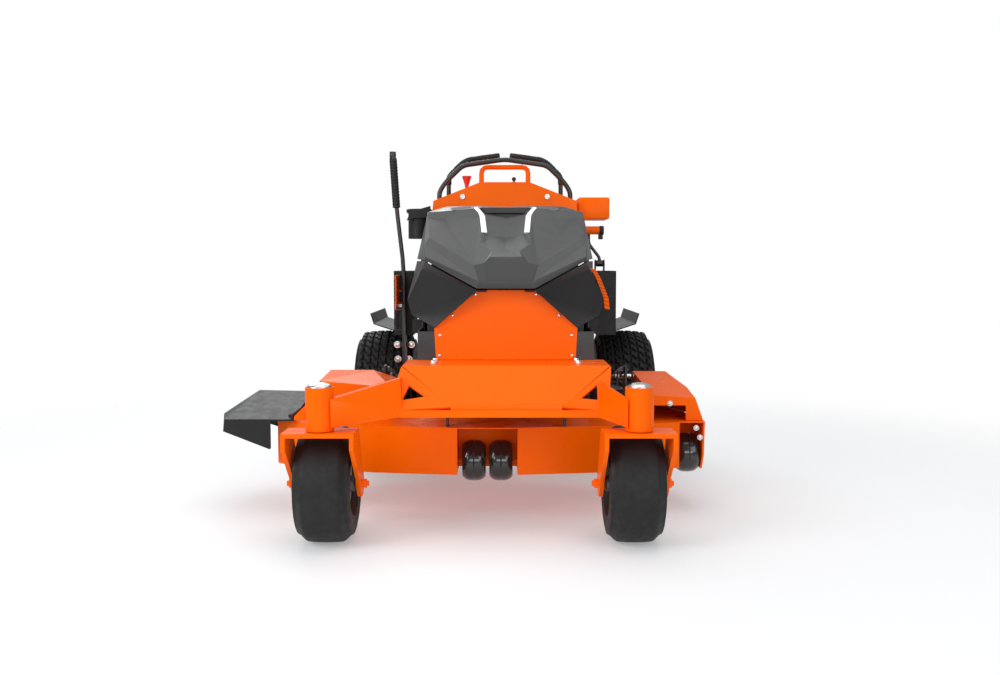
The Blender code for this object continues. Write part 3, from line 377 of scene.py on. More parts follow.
class Shape:
    """Points and faces gathered from several surfaces into one mesh."""

    def __init__(self):
        self.points = []
        self.faces = []
        self.count = 0

    def add(self, points, faces):
        points = np.asarray(points, float).reshape(-1, 3)
        self.points.append(points)
        self.faces += [[int(i) + self.count for i in face] for face in faces]
        self.count += len(points)
        return self

    def grid(self, points, wrap_rows=False, wrap_columns=False):
        """Adds a grid of points shaped rows by columns by three."""
        rows, columns = points.shape[:2]
        return self.add(points, quads(rows, columns, wrap_rows, wrap_columns))

    def turn(self, profile, place, direction, steps=64, flats=0, closed=False):
        """Adds a profile turned about a line; closed joins the profile's last point to its first."""
        return self.grid(lathe(profile, place, direction, steps, flats), wrap_rows=True, wrap_columns=closed)

    def tube(self, points, radius, sides=16, cap=True):
        """Adds a round section carried along a path."""
        return self.grid(pipe(points, radius, sides, cap), wrap_columns=True)

    def build(self, name, finish, body, sharp=35.0, edge=0.0, stands_for=()):
        mesh = bpy.data.meshes.new(name)
        mesh.from_pydata(np.concatenate(self.points).tolist(), [], self.faces)
        weld = bmesh.new()
        weld.from_mesh(mesh)
        bmesh.ops.remove_doubles(weld, verts=weld.verts, dist=0.00002)
        bmesh.ops.dissolve_degenerate(weld, edges=weld.edges, dist=0.00001)
        bmesh.ops.recalc_face_normals(weld, faces=weld.faces)
        weld.to_mesh(mesh)
        weld.free()
        return settle(bpy.data.objects.new(name, mesh), finish, body, sharp, edge, stands_for)


def settle(piece, finish, body, sharp=35.0, edge=0.0, stands_for=()):
    """Links a finished piece, gives it its finish, rides it on its body and hides the nodes it stands for."""
    bpy.context.scene.collection.objects.link(piece)
    piece.data.materials.clear()
    piece.data.materials.append(PALETTE[finish])
    piece.data.shade_smooth()
    piece.data.set_sharp_from_angle(angle=math.radians(sharp))
    if edge:
        bevel = piece.modifiers.new("edge", "BEVEL")
        bevel.width = edge
        bevel.segments = 2
        bevel.limit_method = "ANGLE"
        bevel.angle_limit = math.radians(30)
        bevel.harden_normals = True
    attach(piece, body)
    if stands_for:
        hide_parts(*stands_for)
    return piece


def axes_of(direction):
    """Two unit vectors square to a direction and to each other, and the direction itself."""
    along = np.array(direction, float) / np.linalg.norm(direction)
    helper = np.array([0, 0, 1.0]) if abs(along[2]) < 0.9 else np.array([1.0, 0, 0])
    side = np.cross(helper, along)
    side /= np.linalg.norm(side)
    return side, np.cross(along, side), along


def lathe(profile, centre, direction, steps=64, flats=0):
    """A profile of (radius, height) turned about a line: point = centre + radius (cos, sin) + height
    along it.

    With flats, each radius is divided by cos of the angle from the nearest flat's middle, which makes a hex.
    """
    side, up, along = axes_of(direction)
    angle = around_in(steps)
    shrink = np.ones(steps)
    if flats:
        half = math.pi / flats
        shrink = math.cos(half) / np.cos(angle % (2 * half) - half)
    profile = np.asarray(profile, float)
    radius = profile[None, :, 0] * shrink[:, None]
    ring = np.cos(angle)[:, None, None] * side + np.sin(angle)[:, None, None] * up
    return np.asarray(centre) + radius[..., None] * ring + profile[None, :, 1, None] * along


def smooth_path(points, corner, steps=6):
    """A polyline whose inner corners become quadratic arcs that start a set distance before each corner."""
    points = np.asarray(points, float)
    path = [points[0]]
    t = np.linspace(0, 1, steps + 1)[:, None]
    for before, here, after in zip(points, points[1:], points[2:]):
        back, ahead = before - here, after - here
        start = here + back * min(corner / np.linalg.norm(back), 0.48)
        end = here + ahead * min(corner / np.linalg.norm(ahead), 0.48)
        path.extend((1 - t) ** 2 * start + 2 * t * (1 - t) * here + t**2 * end)
    path.append(points[-1])
    return np.array(path)


def pipe(points, radius, sides=16, cap=True):
    """A round section carried along a path without twist; the ends close in a small dome."""
    points = np.asarray(points, float)
    tangent = np.gradient(points, axis=0)
    tangent /= np.linalg.norm(tangent, axis=1)[:, None]
    side = axes_of(tangent[0])[0]
    radius = np.broadcast_to(radius, len(points)).astype(float)
    rings, sizes, centres, sides_of = [], [], [], []
    for along in tangent:
        side = side - along * (side @ along)
        side /= np.linalg.norm(side)
        sides_of.append((side, np.cross(along, side)))
    if cap:
        for shift, size in ((0.3, 0.0), (0.3, 0.6), (0.15, 0.9)):
            centres.append(points[0] - tangent[0] * radius[0] * shift)
            sizes.append(radius[0] * size)
            rings.append(sides_of[0])
    centres += list(points)
    sizes += list(radius)
    rings += sides_of
    if cap:
        for shift, size in ((0.15, 0.9), (0.3, 0.6), (0.3, 0.0)):
            centres.append(points[-1] + tangent[-1] * radius[-1] * shift)
            sizes.append(radius[-1] * size)
            rings.append(sides_of[-1])
    angle = around_in(sides)
    frames = np.array(rings)
    circle = np.cos(angle)[None, :, None] * frames[:, None, 0] + np.sin(angle)[None, :, None] * frames[:,
        None, 1]
    return np.array(centres)[:, None] + np.array(sizes)[:, None, None] * circle


def slab(outline, shift):
    """A flat outline and its copy moved by a vector, with walls between: points and faces."""
    outline = np.asarray(outline, float)
    count = len(outline)
    points = np.concatenate([outline, outline + np.asarray(shift)])
    walls = [[i, (i + 1) % count, (i + 1) % count + count, i + count] for i in range(count)]
    return points, [list(range(count))[::-1], list(range(count, 2 * count)), *walls]


def cuboid(low, high):
    x0, y0, z0 = low
    x1, y1, z1 = high
    return slab([(x0, y0, z0), (x1, y0, z0), (x1, y1, z0), (x0, y1, z0)], (0, 0, z1 - z0))


def bolt(shape, place, direction, radius, height=None, washer=True):
    """A hex head with a chamfered top, on a washer."""
    height = height or radius * 0.8
    base = radius * 0.22 if washer else 0.0
    if washer:
        plate = [(0, base), (radius * 1.45, base), (radius * 1.5, base * 0.8), (radius * 1.5, -0.0006),
            (0, -0.0006)]
        shape.turn(plate, place, direction, 20)
    head = [(0, base + height), (radius * 0.72, base + height), (radius * 0.9, base + height * 0.94)]
    head += [(radius, base + height * 0.78), (radius, base - 0.0002), (0, base - 0.0002)]
    return shape.turn(head, place, direction, 24, flats=6)


def button(shape, place, direction, radius):
    """A low domed screw head with a socket dimple."""
    dome = [(0, radius * 0.28), (radius * 0.34, radius * 0.28), (radius * 0.4, radius * 0.52),
        (radius * 0.62, radius * 0.46)]
    dome += [(radius * 0.86, radius * 0.28), (radius, radius * 0.04), (radius, -0.0005), (0, -0.0005)]
    return shape.turn(dome, place, direction, 20)


def skin(node, finish, body, edge, smooth=28.0):
    """A CAD node's own solid with its loose triangles merged, its flat areas whole and its edges rounded."""
    mesh = frame["nodes"][node].data.copy()
    mesh.name = node + "_skin"
    clean = bmesh.new()
    clean.from_mesh(mesh)
    bmesh.ops.remove_doubles(clean, verts=clean.verts, dist=0.00003)
    bmesh.ops.dissolve_limit(clean, angle_limit=math.radians(1.0), verts=clean.verts, edges=clean.edges)
    clean.to_mesh(mesh)
    clean.free()
    return settle(bpy.data.objects.new(node + "_skin", mesh), finish, body, smooth, edge, (node,))


# Tyres, rims and rollers


def smoothstep(low, high, value):
    t = np.clip((value - low) / (high - low), 0, 1)
    return t * t * (3 - 2 * t)


def drive_tyres(sizes):
    """Turf tyres: radius = round shoulder profile minus the tread depth wherever the grooves run.

    Across the tread the grooves follow a wave of the angle, so the blocks lie in slanting, staggered rows.
    """
    for side in ("left", "right"):
        low, high = corners("drive_tyre_" + side)
        centre = (low + high) / 2
        outer = (high[2] - low[2]) / 2 - 0.0012
        half = (high[0] - low[0]) / 2
        rim = (corners("drive_rim_" + side)[1][2] - corners("drive_rim_" + side)[0][2]) / 2 + 0.0012
        across = np.linspace(-1, 1, 65)
        crown = outer - 0.01 * np.abs(across) ** 2.4 - 0.026 * smoothstep(0.86, 1.0, np.abs(across))
        around = around_in(sizes.tread_rows * BLOCK_STEPS)
        s, turn = np.meshgrid(across, around, indexing="xy")
        column = np.floor((s + 1) * 3.5)
        within = (s + 1) * 3.5 - column
        shift = (column % 2) * 0.5 + 0.22 * np.sin(2 * math.pi * within)
        phase = (turn / (2 * math.pi) * sizes.tread_rows + shift) % 1
        cross = 1 - smoothstep(0.1, 0.2, np.minimum(phase, 1 - phase))
        lane = 1 - smoothstep(0.05, 0.16, np.minimum(within, 1 - within))
        groove = np.maximum(cross, lane * (np.abs(s) < 0.9))
        radius = crown[None, :] - sizes.tread_depth * groove * smoothstep(1.0, 0.96, np.abs(s))
        tread = np.stack([s * (half - 0.006), radius], -1)
        wall_r = np.array([0.225, 0.215, 0.19, 0.165, 0.15, 0.143, 0.138, rim])
        wall_x = np.array([half - 0.0015, half, half, half - 0.004, half - 0.008, half - 0.007,
            half - 0.018, half - 0.026])
        ends = np.broadcast_to(np.stack([wall_x, wall_r], -1), (len(around), len(wall_r), 2))
        section = np.concatenate([ends[:, ::-1] * (-1, 1), tread, ends], axis=1)
        turned = around[:, None]
        points = np.stack([section[..., 0], section[..., 1] * np.cos(turned),
            section[..., 1] * np.sin(turned)], -1)
        shape = Shape().grid(centre + points, wrap_rows=True, wrap_columns=True)
        shape.build(f"turf_tyre_{side}", "rubber", "drive_wheel_" + side, 30,
            stands_for=("drive_tyre_" + side,))


def caster_tyres():
    """Smooth front tyres: a round crown that falls off as a power of the distance from the middle, and a
    bead."""
    for side in ("left", "right"):
        low, high = corners("caster_tyre_" + side)
        centre = (low + high) / 2
        outer = (high[2] - low[2]) / 2 - 0.0008
        half = (high[0] - low[0]) / 2
        across = np.linspace(-1, 1, 81)
        crown = outer - 0.006 * np.abs(across) ** 2.2 - 0.016 * smoothstep(0.62, 1.0, np.abs(across))
        tread = np.stack([crown, across * (half - 0.003)], -1)
        wall = np.array([(0.128, half), (0.115, half), (0.104, half - 0.003), (0.1, half - 0.002),
            (0.094, half - 0.002)])
        wall = np.concatenate([wall, [(0.09, half - 0.005), (0.084, half - 0.012), (0.0768, half - 0.018)]])
        section = np.concatenate([(wall * (1, -1))[::-1], tread, wall])
        shape = Shape().turn(section, centre, (1, 0, 0), 128, closed=True)
        shape.build(f"smooth_tyre_{side}", "rubber", "front_wheel_" + side, 30,
            stands_for=("caster_tyre_" + side,))
        hub = [(0.0092, half), (0.02, half), (0.022, half - 0.003), (0.024, 0.026), (0.03, 0.02),
            (0.062, 0.02)]
        hub += [(0.068, 0.026), (0.07, 0.05), (0.0755, 0.0565), (0.076, 0.054)]
        profile = hub + [(r, -h) for r, h in reversed(hub)]
        shape = Shape().turn(profile, centre, (1, 0, 0), 64, closed=True)
        for sign in (-1, 1):
            for step in range(5):
                angle = step * math.tau / 5
                place = centre + (sign * 0.0205, 0.046 * math.cos(angle), 0.046 * math.sin(angle))
                bolt(shape, place, (sign, 0, 0), 0.007)
        shape.build(f"cast_hub_{side}", "cast", "front_wheel_" + side, 30, stands_for=("caster_hub_" + side,))


def drive_rims():
    """Pressed steel rims: rolled flanges, a stepped barrel, a dished web and four lug nuts."""
    for side, sign in (("left", 1), ("right", -1)):
        low, high = corners("drive_rim_" + side)
        centre = (low + high) / 2
        half, outer = (high[0] - low[0]) / 2, (high[2] - low[2]) / 2
        barrel = [(0, -0.062), (0.055, -0.062), (0.055, -0.043), (0.108, -0.043), (0.118, -0.052),
            (0.117, -half + 0.008)]
        barrel += [(0.121, -half + 0.002), (outer - 0.001, -half), (outer, -half + 0.004),
            (outer - 0.003, -half + 0.016)]
        barrel += [(outer - 0.004, half - 0.016), (outer, half - 0.004), (outer - 0.001, half),
            (0.121, half - 0.002)]
        barrel += [(0.117, half - 0.01), (0.115, 0.02), (0.112, -0.03), (0.1, -0.036), (0.07, -0.034)]
        barrel += [(0.064, -0.028), (0.04, -0.028), (0.036, -0.034), (0.033, -0.02), (0.028, -0.017),
            (0, -0.017)]
        shape = Shape().turn(barrel, centre, (sign, 0, 0), 72)
        shape.build(f"pressed_rim_{side}", "steel", "drive_wheel_" + side, 30,
            stands_for=("drive_rim_" + side,))
        nuts = Shape()
        for step in range(4):
            angle = math.pi / 4 + step * math.pi / 2
            place = centre + (sign * -0.029, 0.05 * math.cos(angle), 0.05 * math.sin(angle))
            bolt(nuts, place, (sign, 0, 0), 0.011, 0.012)
        nuts.build(f"lug_nuts_{side}", "zinc", "drive_wheel_" + side)


def deck_rollers():
    """Barrel rollers: radius falls off as a power of the distance from the middle, with a ring on each
    face."""
    for name in ("centre_left", "centre_right", "side"):
        low, high = corners("anti_scalp_roller_" + name)
        centre, half, outer = (low + high) / 2, (high[0] - low[0]) / 2, (high[2] - low[2]) / 2 - 0.0004
        across = np.linspace(-1, 1, 41)
        crown = outer - 0.013 * np.abs(across) ** 3.2 - 0.0012 * (np.abs(across) < 0.02)
        tread = np.stack([crown, across * half], -1)
        face = np.array([(0.046, half), (0.042, half - 0.006), (0.02, half - 0.006),
            (0.018, half - 0.0005), (0.0069, half - 0.0005)])
        section = np.concatenate([(face * (1, -1))[::-1], tread, face])
        shape = Shape().turn(section, centre, (1, 0, 0), 72, closed=True)
        shape.build(f"barrel_roller_{name}", "gloss", "roller_" + name, 30,
            stands_for=("anti_scalp_roller_" + name,))


# Hood


HOOD_POINTS = {
    "chin_mid": (0, 0.2, 0.712), "chin": (0.088, 0.2005, 0.7125), "corner": (0.252, 0.3215, 0.797),
    "rim_mid": (0, 0.2135, 0.734), "rim": (0.081, 0.214, 0.734), "rim_out": (0.2505, 0.331, 0.8085),
    "badge_low_mid": (0, 0.2145, 0.736), "badge_low": (0.062, 0.2145, 0.736), "badge_mid": (0, 0.249, 0.797),
    "badge": (0.066, 0.25, 0.788), "badge_in_mid": (0, 0.256, 0.8065), "badge_in": (0.05, 0.256, 0.8065),
    "groove": (0.2575, 0.402, 0.85), "eye": (0.244, 0.437, 0.8695), "inner": (0.0985, 0.264, 0.7815),
    "tip": (0.044, 0.3, 0.8245), "lamp_low_in": (0.0575, 0.424, 0.8785),
    "lamp_low": (0.0785, 0.416, 0.8835),
    "flare": (0.078, 0.362, 0.848), "panel_mid": (0, 0.44, 0.869), "panel_low_mid": (0, 0.33, 0.833),
    "lamp_bend": (0.0865, 0.515, 0.9355), "lamp_bend_in": (0.064, 0.56, 0.9515),
    "panel_top_mid": (0, 0.572, 0.95),
    "brow_in": (0.064, 0.583, 0.97), "brow_mid": (0, 0.583, 0.97), "lamp_top": (0.096, 0.575, 0.971),
    "apex": (0.2045, 0.575, 0.936), "shoulder": (0.264, 0.59, 0.939), "apex_top": (0.2045, 0.6, 0.962),
    "shoulder_top": (0.262, 0.625, 0.96), "ridge": (0.2, 0.68, 0.982),
    "ridge_in": (0.088, 0.66, 0.9835),
    "ridge_mid": (0, 0.66, 0.98), "rear_mid": (0, 0.895, 0.985), "rear_in": (0.088, 0.895, 0.985),
    "rear": (0.2, 0.895, 0.9835), "rear_side": (0.262, 0.895, 0.962), "skirt": (0.3215, 0.895, 0.8035),
}
HOOD_FACETS = """
chin_mid chin rim rim_mid | chin corner rim_out rim | rim_mid rim badge_low badge_low_mid
badge_low_mid badge_low badge badge_in badge_mid | badge_mid badge_in badge_in_mid
rim inner badge badge_low | badge inner tip | badge tip badge_in | inner flare tip
badge_in_mid badge_in tip panel_low_mid | panel_low_mid tip flare lamp_low_in panel_mid
flare lamp_low lamp_low_in
rim rim_out groove | rim groove eye inner | inner eye apex | inner apex lamp_bend
inner lamp_bend lamp_low flare
lamp_low lamp_bend lamp_bend_in lamp_low_in | panel_mid lamp_low_in lamp_bend_in panel_top_mid
panel_top_mid lamp_bend_in brow_in brow_mid | lamp_bend lamp_top brow_in lamp_bend_in
brow_mid brow_in ridge_in ridge_mid | lamp_top ridge_in brow_in
lamp_bend apex apex_top lamp_top | lamp_top apex_top ridge ridge_in | eye groove shoulder | eye shoulder apex
apex shoulder shoulder_top apex_top | apex_top shoulder_top ridge
ridge_mid ridge_in rear_in rear_mid | ridge_in ridge rear rear_in | ridge shoulder_top rear_side rear
corner skirt groove | corner groove rim_out | groove skirt shoulder | shoulder skirt shoulder_top
shoulder_top skirt rear_side
"""


def hood_shell():
    """The tilting lid: flat facets between named corners of one half, mirrored, with narrow round folds."""
    names = list(HOOD_POINTS)
    half = np.array([HOOD_POINTS[name] for name in names])
    facets = [[names.index(name) for name in facet.split()] for line in HOOD_FACETS.split("\n")
        for facet in line.split("|")]
    facets = [facet for facet in facets if facet]
    shape = Shape().add(half + at(0, 0, 0), facets)
    shape.add(half * (-1, 1, 1) + at(0, 0, 0), [facet[::-1] for facet in facets])
    piece = shape.build("hood_shell", "charcoal", "hood", 6, stands_for=("hood_lid",))
    wall = piece.modifiers.new("wall", "SOLIDIFY")
    wall.thickness = LID_WALL
    wall.offset = -1
    round_edges(piece, FOLD_WIDTH, 7)


def round_edges(piece, width, angle, segments=2):
    bevel = piece.modifiers.new("fold", "BEVEL")
    bevel.width = width
    bevel.segments = segments
    bevel.limit_method = "ANGLE"
    bevel.angle_limit = math.radians(angle)


def hood_lamps():
    """Two bent lamp strips, each a flat bar carried along a path that hugs the hood, in a dark bezel."""
    for name, finish, wide, proud in (("lamp_bezel", "gloss", 0.0105, 0.003),
        ("lamp_strip", "lamp", 0.0088, 0.005)):
        for side, sign in (("left", 1), ("right", -1)):
            path = smooth_path(
                [(sign * 0.098, 0.583, 0.97), (sign * 0.0765, 0.536, 0.943),
                (sign * 0.068, 0.424, 0.883)],
                0.012, 3,
            ) + at(0, 0, 0)
            tangent = np.gradient(path, axis=0)
            tangent /= np.linalg.norm(tangent, axis=1)[:, None]
            out = np.array([sign * -0.12, -0.55, 0.82])
            across = np.cross(tangent, out)
            across /= np.linalg.norm(across, axis=1)[:, None]
            up = np.cross(across, tangent)
            up *= np.sign((up @ out))[:, None]
            ends = np.ones(len(path))
            ends[0] = 0.85
            w = wide * ends[:, None]
            rows = [path - across * w - up * LAMP_SINK, path - across * w + up * proud * 0.5,
                path - across * w * 0.7 + up * proud]
            rows += [path + across * w * 0.7 + up * proud, path + across * w + up * proud * 0.5,
                path + across * w - up * LAMP_SINK]
            shape = Shape().grid(np.stack(rows, 1), wrap_columns=True)
            count = len(rows)
            last = (len(path) - 1) * count
            shape.faces += [list(range(count)), [last + i for i in range(count)][::-1]]
            shape.build(f"{name}_{side}", finish, "hood", 30)


def hood_trim():
    """The dark brow band between the lamps, two pale pads on the brow that are a painted highlight, and the
    slots in the front panel.
    """
    brow = [(-0.064, 0.5605, 0.953), (0.064, 0.5605, 0.953), (0.085, 0.5795, 0.972),
        (-0.085, 0.5795, 0.972)]
    shape = Shape().add(*slab([at(*p) for p in brow], (0, -0.003, 0.001)))
    shape.build("brow_band", "cheek", "hood", 30, 0.0008)
    slots = Shape()
    for sign in (-1, 1):
        low, high = sorted((sign * 0.058, sign * 0.088))
        slots.add(*cuboid(at(low, 0.2475, 0.7), at(high, 0.2545, 0.7055)))
    slots.build("panel_slots", "plastic", "root", 30, 0.0005)
    # Painted highlight: two thin pale pads of the lit hood plastic on the facets above the lamps.
    highlight_pads = Shape()
    for sign in (-1, 1):
        quad = [(0.112, 0.5865, 0.9635), (0.176, 0.5915, 0.962), (0.184, 0.618, 0.9715),
            (0.118, 0.613, 0.9775)]
        highlight_pads.add(*slab([at(sign * x, y, z) for x, y, z in quad], (0, -0.0016, 0.0026)))
    highlight_pads.build("brow_painted_highlight", "painted_highlight", "hood", 30, 0.0008)


def hood_cheeks():
    """The fixed cheeks with round folds, orange slashes down the left one, and strips that close the
    lid's gaps."""
    for side in ("left", "right"):
        skin("hood_cheek_" + side, "cheek", "root", 0.0025, 20)
    band = [(0.2675, 0.381, 0.772), (0.2855, 0.402, 0.744), (0.302, 0.424, 0.709), (0.316, 0.444, 0.678),
        (0.3205, 0.449, 0.64)]
    shape = Shape()
    for start, end in zip(band, band[1:]):
        first, last = np.array(start), np.array(end)
        for n in range(3):
            near = first + (last - first) * (n / 3 + 0.02)
            far = first + (last - first) * ((n + 1) / 3 - 0.03)
            out = np.array((0.0165, 0.01, -0.004))
            shape.add(*slab([at(*near), at(*far), at(*(far + out)), at(*(near + out))],
                (0.0015, -0.001, 0.0)))
    shape.build("cheek_slashes", "orange", "root", 30)
    seals = Shape()
    foot = [(0.247, 0.338, 0.782), (0.259, 0.388, 0.762), (0.31, 0.885, 0.79)]
    head = [(0.243, 0.342, 0.803), (0.25, 0.392, 0.805), (0.302, 0.885, 0.812)]
    for sign in (-1, 1):
        for n in (0, 1):
            quad = [foot[n], foot[n + 1], head[n + 1], head[n]]
            seals.add(*slab([at(sign * x, y, z) for x, y, z in quad], (-sign * 0.002, 0, 0)))
        low, high = sorted((sign * 0.262, sign * 0.303))
        seals.add(*cuboid(at(low, 0.46, 0.56), at(high, 0.463, 0.606)))
    seals.build("hood_seals", "cheek", "root", 30)


# Sheet metal


def sheet_metal(edge):
    """Every folded or welded sheet piece keeps its CAD shape and gets rounded edges."""
    pieces = {
        "front_frame": ("orange", "root"), "main_frame": ("orange", "root"),
        "front_panel": ("orange", "root"),
        "caster_fork_left": ("orange", "fork_left"), "caster_fork_right": ("orange", "fork_right"),
        "control_console": ("orange", "root"), "deck_shell": ("orange", "deck"),
        "deck_cover_left": ("orange", "deck"),
        "deck_cover_right": ("orange", "deck"), "side_box": ("orange", "root"),
        "lift_quadrant": ("orange", "root"),
        "platform_plate": ("orange", "platform"), "fender_left": ("plastic", "root"),
        "fender_right": ("plastic", "root"),
        "battery_bay": ("steel", "root"), "discharge_chute": ("plastic", "chute"),
        "rear_hanger_left": ("steel", "deck"),
        "rear_hanger_right": ("steel", "deck"), "front_hanger_left": ("steel", "deck"),
        "front_hanger_right": ("steel", "deck"),
        "lift_shaft": ("steel", "lift"), "blade_left": ("blade", "cutter_left"),
        "blade_right": ("blade", "cutter_right"),
        "blade_centre": ("blade", "cutter_centre"), "battery_pack_left": ("battery", "root"),
        "battery_pack_right": ("battery", "root"), "controller_box": ("cast", "root"),
    }
    for node, (finish, body) in pieces.items():
        skin(node, finish, body, edge)


def housings():
    """Smooth sleeves over the two caster housings, and their domed caps."""
    sleeves = Shape()
    for side in ("left", "right"):
        low, high = corners("caster_cap_" + side)
        centre, radius = (low + high) / 2, (high[0] - low[0]) / 2
        base = np.array([centre[0], centre[1], low[2]])
        top = -0.0007
        sleeve = [(0.0255, top), (0.037, top), (0.0386, top - 0.002), (0.0386, -0.1165), (0.0376, -0.1178),
            (0.0255, -0.1178)]
        sleeves.turn(sleeve, base, (0, 0, 1), 72, closed=True)
        dome = [(0, 0.0125), (0.006, 0.0123), (0.014, 0.0112), (0.022, 0.0088), (0.029, 0.0055),
            (0.0325, 0.003), (radius, 0.0006)]
        cap = Shape().turn([*dome, (radius, 0.0), (0, 0.0)], base, (0, 0, 1), 56)
        cap.build(f"domed_cap_{side}", "zinc", "root", 40, stands_for=("caster_cap_" + side,))
    sleeves.build("housing_sleeves", "orange", "root", 35)


def fasteners(radius):
    """The visible heads, grouped by the body that carries them."""
    root, deck = Shape(), Shape()
    for x, z in ((0.0925, 0.6925), (0.163, 0.628), (0.201, 0.567), (0.203, 0.505)):
        for sign in (1, -1):
            button(root, at(sign * x, 0.2556, z), (0, -1, 0), radius * 0.72)
    for x in (-0.155, 0.155):
        bolt(root, at(x, 0.897, 1.03), (0, -1, 0.0), radius * 0.8)
    for sign in (-1, 1):
        for y in (0.16, 0.235):
            bolt(root, at(sign * 0.215, y, 0.4922), (0, 0, 1), radius)
        for y in (0.36, 0.62, 0.86, 1.02, 1.16):
            bolt(root, at(sign * 0.2402, y, 0.462), (sign, 0, 0), radius)
        for y, z in ((1.12, 0.4), (1.28, 0.4), (1.14, 0.2), (1.26, 0.2)):
            bolt(root, at(sign * 0.2465, y, z), (sign, 0, 0), radius * 1.1)
        for y, z in ((0.93, 0.84), (0.93, 0.62), (1.16, 0.84), (1.16, 0.62)):
            bolt(root, at(sign * 0.2702, y, z), (sign, 0, 0), radius * 0.8)
    for side in ("left", "right"):
        low, high = corners("blade_motor_" + side)
        place = (low + high) / 2
        for step in range(6):
            angle = step * math.tau / 6
            bolt(deck, (place[0] + 0.067 * math.cos(angle), place[1] + 0.067 * math.sin(angle), 0.3022),
                (0, 0, 1), radius * 0.7)
    for x, y, z, direction in (
        (0.52, 0.3496, 0.345, (0, -1, 0)), (-0.56, 0.3846, 0.35, (0, -1, 0)),
        (-0.42, 0.3846, 0.35, (0, -1, 0)),
        (0.6, 0.3294, 0.27, (0, -1, 0)), (0.612, 0.3294, 0.24, (0, -1, 0)),
    ):
        bolt(deck, at(x, y, z), direction, radius * 0.8)
    root.build("frame_bolts", "zinc", "root")
    deck.build("deck_bolts", "zinc", "deck")


# Tubes, levers and grips


def reference_tube(lowest=0.009):
    """The fixed front bar: a round tube bent through five corners, on two small feet."""
    low, high = corners("reference_bar")
    mid = (low + high) / 2
    half = (high[0] - low[0]) / 2 - lowest
    top = high[2] - lowest
    side = [(half, low[2] + 0.0004), (half, low[2] + 0.029), (half - 0.023, low[2] + 0.064),
        (half - 0.087, low[2] + 0.126), (0, top)]
    path = [(mid[0] - x, mid[1], z) for x, z in side] + [(mid[0] + x, mid[1], z) for x,
        z in reversed(side[:-1])]
    shape = Shape().tube(smooth_path(path, 0.022), lowest, 20, cap=False)
    ends = len(shape.points[0])
    shape.faces += [list(range(20)), list(range(ends - 20, ends))]
    shape.build("bent_reference_bar", "steel", "root", 40, stands_for=("reference_bar",))


def steering_levers():
    """Each drive lever: a rod with a thick soft grip over its bent upper part.

    Returns the boots that close the console's slots, not yet built.
    """
    for side, sign in (("left", 1), ("right", -1)):
        body = "steer_" + side
        y, low = middle("drive_lever_" + side)[1] - AXLE_Y, corners("drive_lever_" + side)[0][2]
        rod = [(sign * LEVER_X, y, low), (sign * LEVER_X, y, 1.115), (sign * 0.204, y, 1.125)]
        grip = [(sign * LEVER_X, y, 1.088), (sign * LEVER_X, y, 1.117), (sign * 0.15, y, 1.18),
            (sign * 0.022, y, 1.1965)]
        shape = Shape().tube([at(*p) for p in rod], 0.0085, 20)
        ends = [at(sign * 0.2015, y, 0.97), at(sign * 0.2265, y, 0.97)]
        shape.tube(np.linspace(ends[0], ends[1], 4), 0.0175, 28, cap=False)
        shape.build(f"lever_rod_{side}", "steel", body, 40, stands_for=("drive_lever_" + side,))
        path = smooth_path([at(*p) for p in grip], 0.028, 8)
        fine = np.array([np.interp(np.linspace(0, len(path) - 1, GRIP_STEPS), np.arange(len(path)),
            path[:, k]) for k in range(3)]).T
        swell = 0.0108 - 0.0009 * (np.arange(GRIP_STEPS) % 6 < 2) * (np.arange(GRIP_STEPS) > 36)
        Shape().tube(fine, swell, 20).build(f"lever_grip_{side}", "plastic", body, 40)
    collars = Shape()
    for sign in (-1, 1):
        slot = [(0.0235, 0.001), (0.0235, 0.006), (0.017, 0.01), (0.012, 0.011), (0.012, 0.001)]
        place = at(sign * LEVER_X, 1.08, 1.0345)
        ring = lathe(slot, place, (sign * 0.36, 0, 1), 36)
        ring[..., 1] += 0.021 * np.clip((ring[..., 1] - place[1]) / 0.008, -1, 1)
        collars.grid(ring, wrap_rows=True, wrap_columns=True)
    return collars


def lift_handle():
    """The deck lift lever: blade foot, round rod with two bends, ribbed grip and a ball end."""
    skin("lift_lever", "steel", "lift", 0.0008)
    lean = -0.0625
    foot_y, foot_z = 0.8, 0.375

    def on_lever(x, z):
        return at(x, foot_y + lean * (z - foot_z), z)

    path = np.linspace(on_lever(-0.3825, 0.985), on_lever(-0.392, 1.15), RIB_STEPS)
    ribs = 0.0132 + 0.0007 * np.cos(np.arange(RIB_STEPS) * 1.25)
    shape = Shape().tube(path, ribs, 24)
    shape.build("lift_grip", "plastic", "lift", 60)
    ball = [(0, 0.0125), (0.006, 0.0115), (0.0105, 0.007), (0.0122, 0.0), (0.0105, -0.007), (0.007, -0.012),
        (0, -0.012)]
    Shape().turn(ball, on_lever(-0.393, 1.1655 - 0.0015), (0, 0, 1), 32).build("lift_knob", "gloss", "lift")


